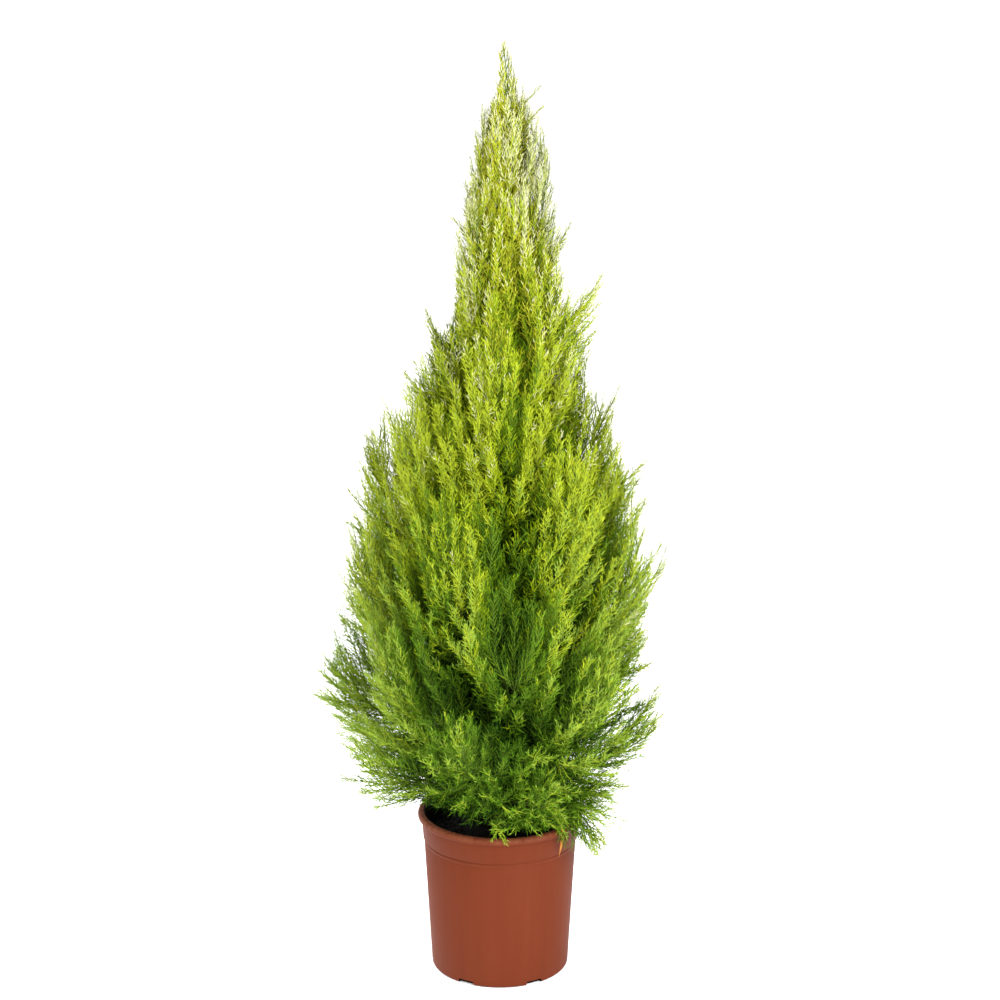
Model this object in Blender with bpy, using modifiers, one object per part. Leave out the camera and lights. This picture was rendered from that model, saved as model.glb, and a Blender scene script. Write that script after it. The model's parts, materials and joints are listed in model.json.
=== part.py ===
"""Lemon cypress in a terracotta-coloured nursery pot.

The pot stands on the ground plane at the origin, with +Z up and the front of the plant towards -Y.
A single leaning trunk carries boughs in a spiral, and each bough carries one plume of foliage.
Every plume grows in its own space: the points that lie nearer to its route than to any other route,
inside the outline of the crown and clear of the trunk, the boughs, the soil and the pot.
"""

import math
import random
from dataclasses import dataclass

import bmesh
import bpy
import numpy as np
from mathutils import Matrix, Vector

SEED = 12
CLEARANCE = 0.0003
SLIVER = 0.000004

# Pot
RIM_RADIUS = 0.0955
POT_HEIGHT = 0.190
RIM_BEAD = 0.009
BEAD_SET_IN = 0.0005
RIM_INNER_RADIUS = 0.0878
COLLAR_TOP_RADIUS = 0.0908
COLLAR_FOOT_RADIUS = 0.0893
GROOVE_HEIGHT = 0.157
GROOVE_DEPTH = 0.0014
WALL_TOP_RADIUS = 0.0882
FOOT_RADIUS = 0.0796
WALL = 0.0018
FLOOR = 0.003
FOOT_ROUND = 0.0035
POT_SIDES = 32
NOTCHES = 6
NOTCH_WIDTH = 0.020
NOTCH_HEIGHT = 0.0055
NOTCH_DEPTH = 0.012
NOTCH_ROUND = 0.002

# Soil
SOIL_TOP = 0.172
SOIL_EDGE_DIP = 0.003
SOIL_SHOULDER = 0.8

# Trunk
TRUNK_TOP = 0.875
TRUNK_LEAN = 0.011
TRUNK_RADIUS = 0.0088
TRUNK_TIP_RADIUS = 0.0016
FLARE_RADIUS = 0.0135
FLARE_HEIGHT = 0.030
TRUNK_POINTS = 14

# Crown
CROWN_TOP = 1.075
LEADER_TIP = 0.003
LEADER_BULGE = 0.014
PLUMES = 36
BOUGHS = 18
GOLDEN_TURN = math.radians(137.508)
FIRST_TURN = math.radians(20)
LOWEST_TIP = 0.222
HIGHEST_TIP = 1.035
LOWEST_FOOT = 0.197
FOOT_SPAN = 0.640
FOOT_STAGGER = 0.003
TURN_SPREAD = 0.12
REACH_SHARES = (0.93, 0.99)
GIRTH_POWER = 0.65
FOOT_POWER = 1.7
SWING = 0.84
LIFT = 0.34
ARCH = 0.022
ROUTE_POINTS = 19

# The plume that hangs over the rim at the front right
DROOP_TURN = math.radians(-27)
DROOP_REACH = 0.128
DROOP_SWING = 0.62
DROOP_TIP = 0.170
DROOP_ARCH = 0.252

# Outline of the crown seen from the front: height, reach to the left, reach to the right
OUTLINE = (
    (0.150, 0.100, 0.122),
    (0.190, 0.142, 0.140),
    (0.240, 0.180, 0.153),
    (0.310, 0.206, 0.192),
    (0.350, 0.222, 0.174),
    (0.430, 0.186, 0.170),
    (0.490, 0.180, 0.197),
    (0.580, 0.173, 0.164),
    (0.650, 0.148, 0.132),
    (0.700, 0.114, 0.120),
    (0.800, 0.070, 0.110),
    (0.850, 0.057, 0.080),
    (0.930, 0.040, 0.058),
    (1.000, 0.022, 0.048),
    (1.040, 0.010, 0.028),
    (1.075, 0.004, 0.010),
)

# Limbs and foliage
BOUGH_SHARE = 0.24
BOUGH_RADIUS = 0.0034
BOUGH_TIP_SHARE = 0.6
STEM_RADIUS = 0.0020
STEM_TIP_RADIUS = 0.0008
SPACE_GAP = 0.0016
LIMB_GAP = 0.0012
RIM_GAP = 0.004
INNER_GAP = 0.006
CORE_RINGS = 4
CORE_SIDES = 4
CORE_LOW_RADIUS = 0.028
CORE_HIGH_RADIUS = 0.014
CORE_FOOT = 0.10
CORE_TIP = 0.90
BRANCHES = 8
STEM_RINGS = 4
BOUGH_RINGS = 4
LEADER_BRANCHES = 13
LEADER_SIZE = 0.85
FULL_STEM = 0.20
ROOT_DEPTH = 0.002
TIP_OVERLAP = 0.008
TWIG_LENGTH = 0.050
TWIG_RADIUS = 0.0016
SPRAY_LENGTH = 0.095
SPRAY_WIDTH = 0.040
SPRAY_THICKNESS = 0.008
LONG_SPRAY = 1.25
SHRINKS = (1.0, 0.85, 0.7, 0.57, 0.48)

# Colours as the photograph shows them, in sRGB
POT_COLOUR = (168, 82, 52)
SOIL_COLOUR = (38, 30, 24)
BARK_COLOUR = (104, 74, 50)
FOLIAGE_LOW = (76, 108, 30)
FOLIAGE_HIGH = (164, 172, 58)


@dataclass
class Plume:
    """One bough with its foliage: an evenly spaced route from the trunk to the tip."""

    name: str
    route: list
    bough_points: int
    foot_radius: float


def linear(colour):
    """Linear RGBA of an sRGB colour given in 0 to 255."""
    shares = [value / 255 for value in colour]
    return [s / 12.92 if s <= 0.04045 else ((s + 0.055) / 1.055) ** 2.4 for s in shares] + [1.0]


def blend(low, high, share):
    return low + (high - low) * share


def finish(name, colour, roughness):
    material = bpy.data.materials.new(name)
    material.use_nodes = True
    shader = material.node_tree.nodes["Principled BSDF"]
    shader.inputs["Base Color"].default_value = linear(colour)
    shader.inputs["Roughness"].default_value = roughness
    shader.inputs["Metallic"].default_value = 0.0
    return material


def clear_scene():
    for thing in list(bpy.data.objects):
        bpy.data.objects.remove(thing, do_unlink=True)


def collection_named(name):
    group = bpy.data.collections.new(name)
    bpy.context.scene.collection.children.link(group)
    return group


def mesh_object(name, mesh, group, material=None):
    thing = bpy.data.objects.new(name, mesh)
    group.objects.link(thing)
    if material:
        mesh.materials.append(material)
    return thing


# Pot and soil


def arc(centre, radius, start, end, steps):
    """Points on a circle in the profile's plane, from one angle in degrees to another."""
    angles = [math.radians(blend(start, end, step / steps)) for step in range(steps + 1)]
    return [(centre[0] + radius * math.cos(a), centre[1] + radius * math.sin(a)) for a in angles]


def turned(name, profile, group, material):
    """A solid of revolution about +Z from (radius, height) points."""
    mesh = bpy.data.meshes.new(name)
    bm = bmesh.new()
    knots = [bm.verts.new((radius, 0, height)) for radius, height in profile]
    for first, second in zip(knots, knots[1:]):
        bm.edges.new((first, second))
    bm.to_mesh(mesh)
    bm.free()
    thing = mesh_object(name, mesh, group, material)
    screw = thing.modifiers.new("Turn", "SCREW")
    screw.steps = POT_SIDES
    screw.render_steps = POT_SIDES
    screw.use_merge_vertices = True
    screw.merge_threshold = 0.0001
    screw.use_smooth_shade = True
    return thing


def inner_radius(height):
    """Inside radius of the pot's wall."""
    foot = FOOT_RADIUS - WALL
    return blend(foot, RIM_INNER_RADIUS, (height - FLOOR) / (POT_HEIGHT - FLOOR))


def make_pot(group, cutters):
    bead = RIM_BEAD / 2
    lip = arc((RIM_RADIUS - bead, POT_HEIGHT - bead), bead, 90, 0, 3)
    foot = arc((FOOT_RADIUS - FOOT_ROUND, FOOT_ROUND), FOOT_ROUND, 0, -90, 2)
    profile = [
        (0, FLOOR),
        (inner_radius(FLOOR), FLOOR),
        (inner_radius(POT_HEIGHT - bead), POT_HEIGHT - bead),
        *lip,
        (RIM_RADIUS - BEAD_SET_IN, POT_HEIGHT - RIM_BEAD),
        (COLLAR_TOP_RADIUS, POT_HEIGHT - RIM_BEAD),
        (COLLAR_FOOT_RADIUS, GROOVE_HEIGHT + GROOVE_DEPTH),
        (WALL_TOP_RADIUS - GROOVE_DEPTH / 2, GROOVE_HEIGHT),
        (WALL_TOP_RADIUS, GROOVE_HEIGHT - GROOVE_DEPTH),
        *foot,
        (0, 0),
    ]
    pot = turned("pot", profile, group, finish("terracotta plastic", POT_COLOUR, 0.5))
    for number in range(NOTCHES):
        make_notch(number, cutters)
    cut = pot.modifiers.new("Drainage notches", "BOOLEAN")
    cut.operation = "DIFFERENCE"
    cut.operand_type = "COLLECTION"
    cut.collection = cutters


def make_notch(number, cutters):
    """A slot through the foot of the wall, one at 30 degrees on each side of the front."""
    mesh = bpy.data.meshes.new(f"notch_{number + 1}")
    bm = bmesh.new()
    bmesh.ops.create_cube(bm, size=1.0)
    bmesh.ops.scale(bm, vec=(NOTCH_WIDTH, NOTCH_DEPTH, 2 * NOTCH_HEIGHT), verts=bm.verts)
    lengthways = [e for e in bm.edges if abs((e.verts[0].co - e.verts[1].co).y) > NOTCH_DEPTH / 2]
    bmesh.ops.bevel(
        bm, geom=lengthways, offset=NOTCH_ROUND, segments=2, profile=0.5, affect="EDGES", material=-1
    )
    bm.to_mesh(mesh)
    bm.free()
    cutter = mesh_object(mesh.name, mesh, cutters)
    turn = math.radians(-60 + 360 * number / NOTCHES)
    cutter.location = (FOOT_RADIUS * math.cos(turn), FOOT_RADIUS * math.sin(turn), 0)
    cutter.rotation_euler = (0, 0, turn + math.pi / 2)
    cutter.hide_render = True
    cutter.display_type = "WIRE"


def make_soil(group):
    floor = FLOOR + CLEARANCE
    edge = SOIL_TOP - SOIL_EDGE_DIP
    profile = [
        (0, SOIL_TOP),
        (2 * FLARE_RADIUS, SOIL_TOP),
        (SOIL_SHOULDER * inner_radius(edge), blend(SOIL_TOP, edge, SOIL_SHOULDER)),
        (inner_radius(edge) - CLEARANCE, edge),
        (inner_radius(floor) - CLEARANCE, floor),
        (0, floor),
    ]
    turned("soil", profile, group, finish("dark compost", SOIL_COLOUR, 0.95))


# Routes of the trunk and the plumes


def trunk_point(height):
    """Centre of the trunk: it leans gently to the right on its way up."""
    share = min(max((height - SOIL_TOP) / (TRUNK_TOP - SOIL_TOP), 0), 1)
    ease = share * share * (3 - 2 * share)
    return Vector((TRUNK_LEAN * ease, 0, height))


def trunk_radius(height):
    share = (height - SOIL_TOP) / (TRUNK_TOP - SOIL_TOP)
    taper = blend(TRUNK_RADIUS, TRUNK_TIP_RADIUS, share)
    flare = max(1 - (height - SOIL_TOP) / FLARE_HEIGHT, 0)
    return taper + (FLARE_RADIUS - TRUNK_RADIUS) * flare * flare


def trunk_height(step):
    """Heights along the trunk, closer together in the root flare."""
    share = step / (TRUNK_POINTS - 1)
    return blend(SOIL_TOP + CLEARANCE, TRUNK_TOP, share**1.5)


def reach(height, turn):
    """Reach of the crown from the pot's axis at a height, in the direction of a turn from +X."""
    heights = [row[0] for row in OUTLINE]
    left = np.interp(height, heights, [row[1] for row in OUTLINE])
    right = np.interp(height, heights, [row[2] for row in OUTLINE])
    return blend(left, right, (1 + np.cos(turn)) / 2)


def tip_height(share):
    """Height below which a share of the plumes has its tip, so that they cover the crown evenly."""
    heights = np.linspace(LOWEST_TIP, HIGHEST_TIP, 60)
    girth = reach(heights, math.pi / 2)
    covered = np.cumsum(girth**GIRTH_POWER)
    covered /= covered[-1]
    return float(np.interp(share, covered, heights))


def even_route(foot, bend, tip, count=ROUTE_POINTS):
    """Evenly spaced points along the curve from foot to tip that leaves towards bend."""
    fine = [foot.lerp(bend, t).lerp(bend.lerp(tip, t), t) for t in np.linspace(0, 1, 80)]
    lengths = np.cumsum([0] + [(b - a).length for a, b in zip(fine, fine[1:])])
    marks = np.linspace(0, lengths[-1], count)
    return [Vector([np.interp(m, lengths, [p[axis] for p in fine]) for axis in range(3)]) for m in marks]


def outwards(turn, distance, height):
    return Vector((distance * math.cos(turn), distance * math.sin(turn), height))


def plume_route(foot_height, turn, bend, tip, radius):
    """Route from just off the trunk's bark, so that the limb's round end stays clear of it."""
    centre = trunk_point(foot_height)
    start = centre + outwards(turn, trunk_radius(foot_height), 0)
    slope = (bend - start).normalized().z
    off_bark = trunk_radius(foot_height) + CLEARANCE + radius * abs(slope)
    return even_route(centre + outwards(turn, off_bark, 0), bend, tip)


def plan_plumes():
    """Every plume in order of height, spiralling up the trunk by the golden angle."""
    chance = random.Random(SEED)
    plumes = []
    for number in range(PLUMES):
        share = (number + 0.5) / PLUMES
        tip_z = tip_height(share)
        climb = (tip_z - LOWEST_TIP) / (HIGHEST_TIP - LOWEST_TIP)
        foot_z = LOWEST_FOOT + FOOT_SPAN * max(climb, 0) ** FOOT_POWER + FOOT_STAGGER * (number % 3)
        turn = FIRST_TURN + GOLDEN_TURN * number + chance.uniform(-TURN_SPREAD, TURN_SPREAD)
        far = float(reach(tip_z, turn)) * chance.uniform(*REACH_SHARES)
        rise = tip_z - foot_z
        bend_z = foot_z + LIFT * rise + ARCH * (1 - climb) ** 2
        has_bough = number < BOUGHS
        radius = blend(BOUGH_RADIUS, STEM_RADIUS, climb) if has_bough else STEM_RADIUS * (1.1 - 0.4 * climb)
        bend = outwards(turn, SWING * far, bend_z)
        route = plume_route(foot_z, turn, bend, outwards(turn, far, tip_z), radius)
        bough_points = round(BOUGH_SHARE * ROUTE_POINTS) if has_bough else 0
        plumes.append(Plume(f"{number + 1:02d}", route, bough_points, radius))
    plumes[0] = droop_plume(plumes[0])
    plumes.append(leader_plume())
    return plumes


def droop_plume(plume):
    """The lowest plume, turned to the front right and hanging over the rim."""
    bend = outwards(DROOP_TURN, DROOP_SWING * DROOP_REACH, DROOP_ARCH)
    tip = outwards(DROOP_TURN, DROOP_REACH, DROOP_TIP)
    route = plume_route(LOWEST_FOOT, DROOP_TURN, bend, tip, plume.foot_radius)
    return Plume(plume.name, route, plume.bough_points, plume.foot_radius)


def climb_share(plume):
    """How high a plume's tip lies, from 0 at the foot of the crown to 1 at its top."""
    share = (plume.route[-1].z - LOWEST_TIP) / (HIGHEST_TIP - LOWEST_TIP)
    return min(max(share, 0), 1)


def leader_plume():
    """The leader goes on from the trunk's tip, and its own tip bends back to the left."""
    start = trunk_point(TRUNK_TOP) + Vector((0, 0, CLEARANCE))
    bend = Vector((LEADER_BULGE, 0, blend(TRUNK_TOP, CROWN_TOP, 0.6)))
    route = even_route(start, bend, Vector((LEADER_TIP, 0, CROWN_TOP)))
    return Plume("leader", route, 0, TRUNK_TIP_RADIUS)


# Own space of each plume


class Space:
    """Tells which points lie in the space of one plume."""

    def __init__(self, plumes):
        starts = [point for plume in plumes for point in plume.route[:-1]]
        ends = [point for plume in plumes for point in plume.route[1:]]
        self.starts = np.array([tuple(p) for p in starts])
        self.along = np.array([tuple(p) for p in ends]) - self.starts
        self.lengths2 = (self.along**2).sum(axis=1)
        self.owner = np.repeat(np.arange(len(plumes)), ROUTE_POINTS - 1)
        place = np.tile(np.arange(ROUTE_POINTS - 1), len(plumes))
        boughs = np.array([plume.bough_points for plume in plumes])
        self.in_bough = place < boughs[self.owner] - 1
        radii = np.array([plume.foot_radius for plume in plumes])
        self.radius = np.where(self.in_bough, radii[self.owner], STEM_RADIUS)
        self.count = len(plumes)
        self.droop = 0

    def distances(self, points):
        """Distance from each point to each route, and to the nearest bough."""
        offset = points[:, None, :] - self.starts[None]
        share = np.clip((offset * self.along).sum(axis=2) / self.lengths2, 0, 1)
        gaps = np.linalg.norm(offset - share[..., None] * self.along, axis=2)
        to_route = np.full((len(points), self.count), np.inf)
        np.minimum.at(to_route.T, self.owner, gaps.T)
        to_limb = (gaps - self.radius)[:, self.in_bough].min(axis=1)
        return to_route, to_limb

    def holds(self, index, points, stretch=1.0):
        """Whether all the points lie in one plume's space."""
        points = np.array([tuple(p) for p in points])
        x, y, z = points.T
        from_axis = np.hypot(x, y)
        if (from_axis > stretch * reach(z, np.arctan2(y, x))).any() or z.max() > CROWN_TOP:
            return False
        if not self.clear_of_pot(index, from_axis, z).all():
            return False
        to_route, to_limb = self.distances(points)
        own = to_route[:, index].copy()
        to_route[:, index] = np.inf
        if (to_route.min(axis=1) - own < 2 * SPACE_GAP).any() or (to_limb < LIMB_GAP).any():
            return False
        return self.clear_of_trunk(points).all()

    def clear_of_pot(self, index, from_axis, height):
        over_rim = height > POT_HEIGHT + RIM_GAP
        inside = (from_axis < RIM_INNER_RADIUS - INNER_GAP) & (height > SOIL_TOP + INNER_GAP)
        beyond = (from_axis > RIM_RADIUS + RIM_GAP) & (index == self.droop)
        return over_rim | inside | beyond

    def clear_of_trunk(self, points):
        heights = points[:, 2]
        centres = np.array([tuple(trunk_point(h)) for h in heights])
        radii = np.array([trunk_radius(min(max(h, SOIL_TOP), TRUNK_TOP)) for h in heights])
        gap = np.hypot(*(points - centres)[:, :2].T) - radii
        return (gap > LIMB_GAP) | (heights > TRUNK_TOP + LIMB_GAP)


# Limbs


def limb(name, points, radii, sides, group, material):
    """A round tapering limb with flat ends."""
    curve = bpy.data.curves.new(name, "CURVE")
    curve.dimensions = "3D"
    curve.bevel_depth = 1.0
    curve.bevel_resolution = sides // 2 - 2
    curve.use_fill_caps = True
    spline = curve.splines.new("POLY")
    spline.points.add(len(points) - 1)
    for knot, point, radius in zip(spline.points, points, radii):
        knot.co = (*point, 1.0)
        knot.radius = radius
    curve.materials.append(material)
    thing = bpy.data.objects.new(name, curve)
    group.objects.link(thing)
    return thing


def make_trunk(group, bark):
    heights = [trunk_height(step) for step in range(TRUNK_POINTS)]
    points = [trunk_point(height) for height in heights]
    points[1].x = points[0].x
    limb("trunk", points, [trunk_radius(height) for height in heights], 12, group, bark)


def make_bough(plume, group, bark):
    last = BOUGH_RINGS - 1
    points = [point_along(plume.route[: plume.bough_points], step / last) for step in range(last + 1)]
    radii = [plume.foot_radius * blend(1, BOUGH_TIP_SHARE, step / last) for step in range(last + 1)]
    limb(f"bough_{plume.name}", points, radii, 8, group, bark)


# Foliage


def frame_along(direction, side_hint):
    """Rotation whose Z axis runs along a direction, with Y as near to the hint as it can be."""
    z_axis = direction.normalized()
    x_axis = side_hint.cross(z_axis)
    if x_axis.length < 1e-6:
        x_axis = z_axis.orthogonal()
    x_axis.normalize()
    y_axis = z_axis.cross(x_axis)
    return Matrix((x_axis, y_axis, z_axis)).transposed().to_4x4()


def draw_out(bm, face, is_end):
    """The copy of an end face that is drawn out from it; a face between two rings is taken out."""
    grown = bmesh.ops.extrude_face_region(bm, geom=[face])["geom"]
    if not is_end:
        bmesh.ops.delete(bm, geom=[face], context="FACES_ONLY")
    return next(part for part in grown if isinstance(part, bmesh.types.BMFace))


def stem_mesh(points, radii, sides=3):
    """A tapering many-sided stem: one ring drawn out along the points, with flat ends."""
    bm = bmesh.new()
    bmesh.ops.create_circle(bm, cap_ends=True, segments=sides, radius=radii[0])
    first = Matrix.Translation(points[0]) @ frame_along(points[1] - points[0], Vector((0, 0, 1)))
    bmesh.ops.transform(bm, matrix=first, verts=bm.verts)
    face = bm.faces[:][0]
    for step in range(1, len(points)):
        face = draw_out(bm, face, step == 1)
        centre = face.calc_center_median()
        ratio = radii[step] / radii[step - 1]
        for vert in face.verts:
            vert.co = points[step] + (vert.co - centre) * ratio
    bmesh.ops.recalc_face_normals(bm, faces=bm.faces)
    return bm


def plume_core(space, index, points, radius, chance):
    """Rings round the route, each corner drawn in until it lies in the plume's own space."""
    last = len(points) - 1
    bm = bmesh.new()
    bmesh.ops.create_circle(bm, cap_ends=True, segments=CORE_SIDES, radius=1.0)
    face = bm.faces[:][0]
    for ring in range(CORE_RINGS):
        place = blend(CORE_FOOT, CORE_TIP, ring / (CORE_RINGS - 1))
        centre = point_along(points, place)
        if ring:
            face = draw_out(bm, face, ring == 1)
        along = frame_along(direction_along(points, place), Vector((0, 0, 1))).to_3x3()
        full = radius * (0.35 + 0.65 * math.sin(math.pi * (ring + 0.7) / CORE_RINGS))
        for corner, vert in enumerate(face.verts):
            turn = 2 * math.pi * (corner + 0.3 * chance.random()) / CORE_SIDES
            spoke = along @ Vector((math.cos(turn), math.sin(turn), 0))
            vert.co = centre + spoke * room(space, index, centre, spoke, full)
    bmesh.ops.recalc_face_normals(bm, faces=bm.faces)
    return bm


def room(space, index, centre, spoke, full):
    """The furthest a corner may stand off the route, up to its full distance."""
    for share in (1.0, 0.85, 0.7, 0.55, 0.42, 0.3, 0.2):
        if space.holds(index, [centre + spoke * (full * share * part) for part in (0.6, 1.0)], 0.9):
            return full * share
    return 0.12 * full


def twig_mesh(root, tip):
    """A three-sided twig, pointed at its tip."""
    bm = bmesh.new()
    length = (tip - root).length
    bmesh.ops.create_cone(bm, cap_ends=True, segments=3, radius1=TWIG_RADIUS, radius2=0, depth=length)
    place = Matrix.Translation((root + tip) / 2) @ frame_along(tip - root, Vector((0, 0, 1)))
    bmesh.ops.transform(bm, matrix=place, verts=bm.verts)
    return bm


def spray_mesh(root, direction, length, facing):
    """A flattened eight-faced spray, widest below its middle."""
    bm = bmesh.new()
    bmesh.ops.create_uvsphere(bm, u_segments=4, v_segments=2, radius=1.0)
    slender = length / SPRAY_LENGTH
    for vert in bm.verts:
        if abs(vert.co.z) < 0.5:
            vert.co.z -= 0.25
    size = Matrix.Diagonal((slender * SPRAY_WIDTH / 2, slender * SPRAY_THICKNESS / 2, length / 2, 1))
    middle = root + direction * (length / 2)
    bmesh.ops.transform(
        bm, matrix=Matrix.Translation(middle) @ frame_along(direction, facing) @ size, verts=bm.verts
    )
    return bm


def samples(bm):
    """Corners, edge middles and face centres of a piece."""
    corners = [vert.co.copy() for vert in bm.verts]
    middles = [(edge.verts[0].co + edge.verts[1].co) / 2 for edge in bm.edges]
    return corners + middles + [face.calc_center_median() for face in bm.faces]


def fitted(space, index, build):
    """The longest of a piece's lengths that stays in the plume's space, or nothing."""
    for shrink in SHRINKS:
        piece = build(shrink)
        if space.holds(index, samples(piece)):
            return piece, shrink
        piece.free()
    return None, 0


def grow(space, index, plume, chance):
    """Stem, core, twigs and sprays of one plume, as separate closed pieces."""
    stem = plume.route[max(plume.bough_points - 1, 0) :]
    foot = plume.foot_radius * (BOUGH_TIP_SHARE if plume.bough_points else 1)
    if plume.bough_points:
        ahead = (stem[0] - plume.route[plume.bough_points - 2]).normalized()
        bent = ahead.cross(point_along(stem, 1 / (STEM_RINGS - 1)) - stem[0])
        tilt = bent.length / (stem[0] - point_along(stem, 1 / (STEM_RINGS - 1))).length
        stem = [stem[0] + ahead * (CLEARANCE + foot * tilt)] + stem[1:]
    shares = [ring / (STEM_RINGS - 1) for ring in range(STEM_RINGS)]
    rings = [point_along(stem, share) for share in shares]
    pieces = [stem_mesh(rings, [blend(foot, STEM_TIP_RADIUS, share) for share in shares])]
    if plume.name != "leader":
        radius = blend(CORE_LOW_RADIUS, CORE_HIGH_RADIUS, climb_share(plume))
        pieces.append(plume_core(space, index, stem, radius, chance))
    length = sum((b - a).length for a, b in zip(stem, stem[1:]))
    branches = LEADER_BRANCHES if plume.name == "leader" else BRANCHES
    size = LEADER_SIZE if plume.name == "leader" else min(max(length / FULL_STEM, 0.75), 1.05)
    turn = chance.uniform(0, 2 * math.pi)
    for number in range(branches):
        place = blend(0.10, 0.94, (number + 0.5) / branches)
        base = point_along(stem, place)
        ahead = direction_along(stem, place)
        turn += GOLDEN_TURN
        bare = number % 2 == 1
        pieces += branch(space, index, base, ahead, turn, size * blend(1.1, 0.7, place), bare, chance)
    tip_ahead = direction_along(stem, 1.0)
    for number, place in enumerate((0.86, 0.74)):
        lean = frame_along(tip_ahead, Vector((0, 0, 1))).to_3x3() @ Vector(
            (0.25 * math.cos(math.pi * number + turn), 0.25 * math.sin(math.pi * number + turn), 1)
        )
        pieces += spray(space, index, point_along(stem, place), lean.normalized(), size)
    return [piece for piece in pieces if piece]


def point_along(points, share):
    place = share * (len(points) - 1)
    step = min(int(place), len(points) - 2)
    return points[step].lerp(points[step + 1], place - step)


def direction_along(points, share):
    step = min(int(share * (len(points) - 1)), len(points) - 2)
    return (points[step + 1] - points[step]).normalized()


def branch(space, index, base, ahead, turn, size, bare, chance):
    """A twig with a spray at its tip and one at its side, or a bare one: a long spray from the stem."""
    across = frame_along(ahead, Vector((0, 0, 1))).to_3x3() @ Vector((math.cos(turn), math.sin(turn), 0))
    direction = (0.80 * ahead + 0.62 * across + Vector((0, 0, 0.15))).normalized()
    reach_out = TWIG_LENGTH * size * chance.uniform(0.85, 1.1)
    if bare:
        return spray(space, index, base, direction, LONG_SPRAY * size)
    twig, shrink = fitted(
        space, index, lambda share: twig_mesh(base, base + direction * (reach_out * share))
    )
    if not twig:
        return spray(space, index, base, direction, size)
    tip = base + direction * (reach_out * shrink)
    side = direction.cross(across).normalized()
    pieces = [twig]
    pieces += spray(space, index, tip - direction * TIP_OVERLAP, (direction + 0.35 * ahead).normalized(), size)
    sign = 1 if chance.random() < 0.5 else -1
    lean = (0.8 * direction + sign * 0.55 * side + 0.35 * ahead).normalized()
    return pieces + spray(space, index, base.lerp(tip, 0.6), lean, 0.9 * size)


def spray(space, index, root, direction, size):
    """One spray as a list, empty where it has no room."""
    outside = Vector((root.x, root.y, 0.0))
    facing = outside.normalized() if outside.length > 1e-4 else Vector((0, 1, 0))
    root = root - direction * ROOT_DEPTH
    piece, _ = fitted(
        space,
        index,
        lambda share: spray_mesh(root, direction, SPRAY_LENGTH * size * share, facing),
    )
    return [piece] if piece else []


def fuse(name, pieces, group, solver):
    """One closed body from overlapping closed pieces."""
    held = collection_named(f"{name} pieces")
    things = []
    for number, piece in enumerate(pieces):
        mesh = bpy.data.meshes.new(f"{name}_{number}")
        piece.to_mesh(mesh)
        things.append(mesh_object(mesh.name, mesh, held if number else group))
    join = things[0].modifiers.new("Join", "BOOLEAN")
    join.operation = "UNION"
    join.operand_type = "COLLECTION"
    join.collection = held
    join.solver = solver
    graph = bpy.context.evaluated_depsgraph_get()
    mesh = bpy.data.meshes.new_from_object(things[0].evaluated_get(graph), depsgraph=graph)
    for thing in things:
        spare = thing.data
        bpy.data.objects.remove(thing, do_unlink=True)
        bpy.data.meshes.remove(spare)
    bpy.data.collections.remove(held)
    return mesh


def signed_volume(faces):
    total = 0.0
    for face in faces:
        first = face.verts[0].co
        for second, third in zip(face.verts[1:], face.verts[2:]):
            total += first.dot(second.co.cross(third.co)) / 6
    return total


def keep_main_body(mesh):
    """Drops loose scraps and fills sealed hollows; tells whether what is left is closed."""
    bm = bmesh.new()
    bm.from_mesh(mesh)
    bmesh.ops.remove_doubles(bm, verts=bm.verts, dist=SLIVER)
    bmesh.ops.triangulate(bm, faces=bm.faces)
    bmesh.ops.dissolve_degenerate(bm, dist=SLIVER, edges=bm.edges)
    bodies = []
    unseen = set(bm.faces)
    while unseen:
        body = [unseen.pop()]
        for face in body:
            joined = [edge for edge in face.edges if len(edge.link_faces) == 2]
            near = {other for edge in joined for other in edge.link_faces} & unseen
            unseen -= near
            body.extend(near)
        bodies.append(body)
    main = max(bodies, key=signed_volume)
    spare = [face for body in bodies if body is not main for face in body]
    bmesh.ops.delete(bm, geom=spare, context="FACES")
    bmesh.ops.delete(bm, geom=[vert for vert in bm.verts if not vert.link_faces], context="VERTS")
    closed = all(len(edge.link_faces) == 2 for edge in bm.edges)
    bm.to_mesh(mesh)
    bm.free()
    return closed


def make_plume(space, index, plume, group):
    chance = random.Random(SEED * 1000 + index)
    name = plume.name if plume.name == "leader" else f"plume_{plume.name}"
    pieces = grow(space, index, plume, chance)
    mesh = None
    for solver, kept in (("EXACT", len(pieces)), ("MANIFOLD", len(pieces)), ("EXACT", len(pieces) - 6)):
        mesh = fuse(name, pieces[:kept], group, solver)
        if keep_main_body(mesh):
            break
    for piece in pieces:
        piece.free()
    share = climb_share(plume)
    colour = [blend(low, high, share) for low, high in zip(FOLIAGE_LOW, FOLIAGE_HIGH)]
    mesh.name = name
    mesh.materials.clear()
    mesh_object(name, mesh, group, finish(f"foliage {plume.name}", colour, 0.6))


def main():
    clear_scene()
    group = collection_named("lemon_cypress")
    cutters = collection_named("cutters")
    make_pot(group, cutters)
    make_soil(group)
    bark = finish("bark", BARK_COLOUR, 0.85)
    make_trunk(group, bark)
    plumes = plan_plumes()
    space = Space(plumes)
    for index, plume in enumerate(plumes):
        if plume.bough_points:
            make_bough(plume, group, bark)
        make_plume(space, index, plume, group)


main()
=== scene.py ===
"""Lemon cypress in a terracotta-coloured nursery pot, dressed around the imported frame.

The plant stands at the origin, with +Z up and its front towards -Y. Trunk and boughs get their bark, and
each mass of foliage is grown again by the rule of the part's source, from the same seeds, and carried on
to side shoots and twiglets inside the same outline of the crown.
"""

import json
import logging
import math
import random
from dataclasses import dataclass, field
from enum import Enum

import bmesh
import bpy
import numpy as np
from mathutils import Matrix, Vector, noise

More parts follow.
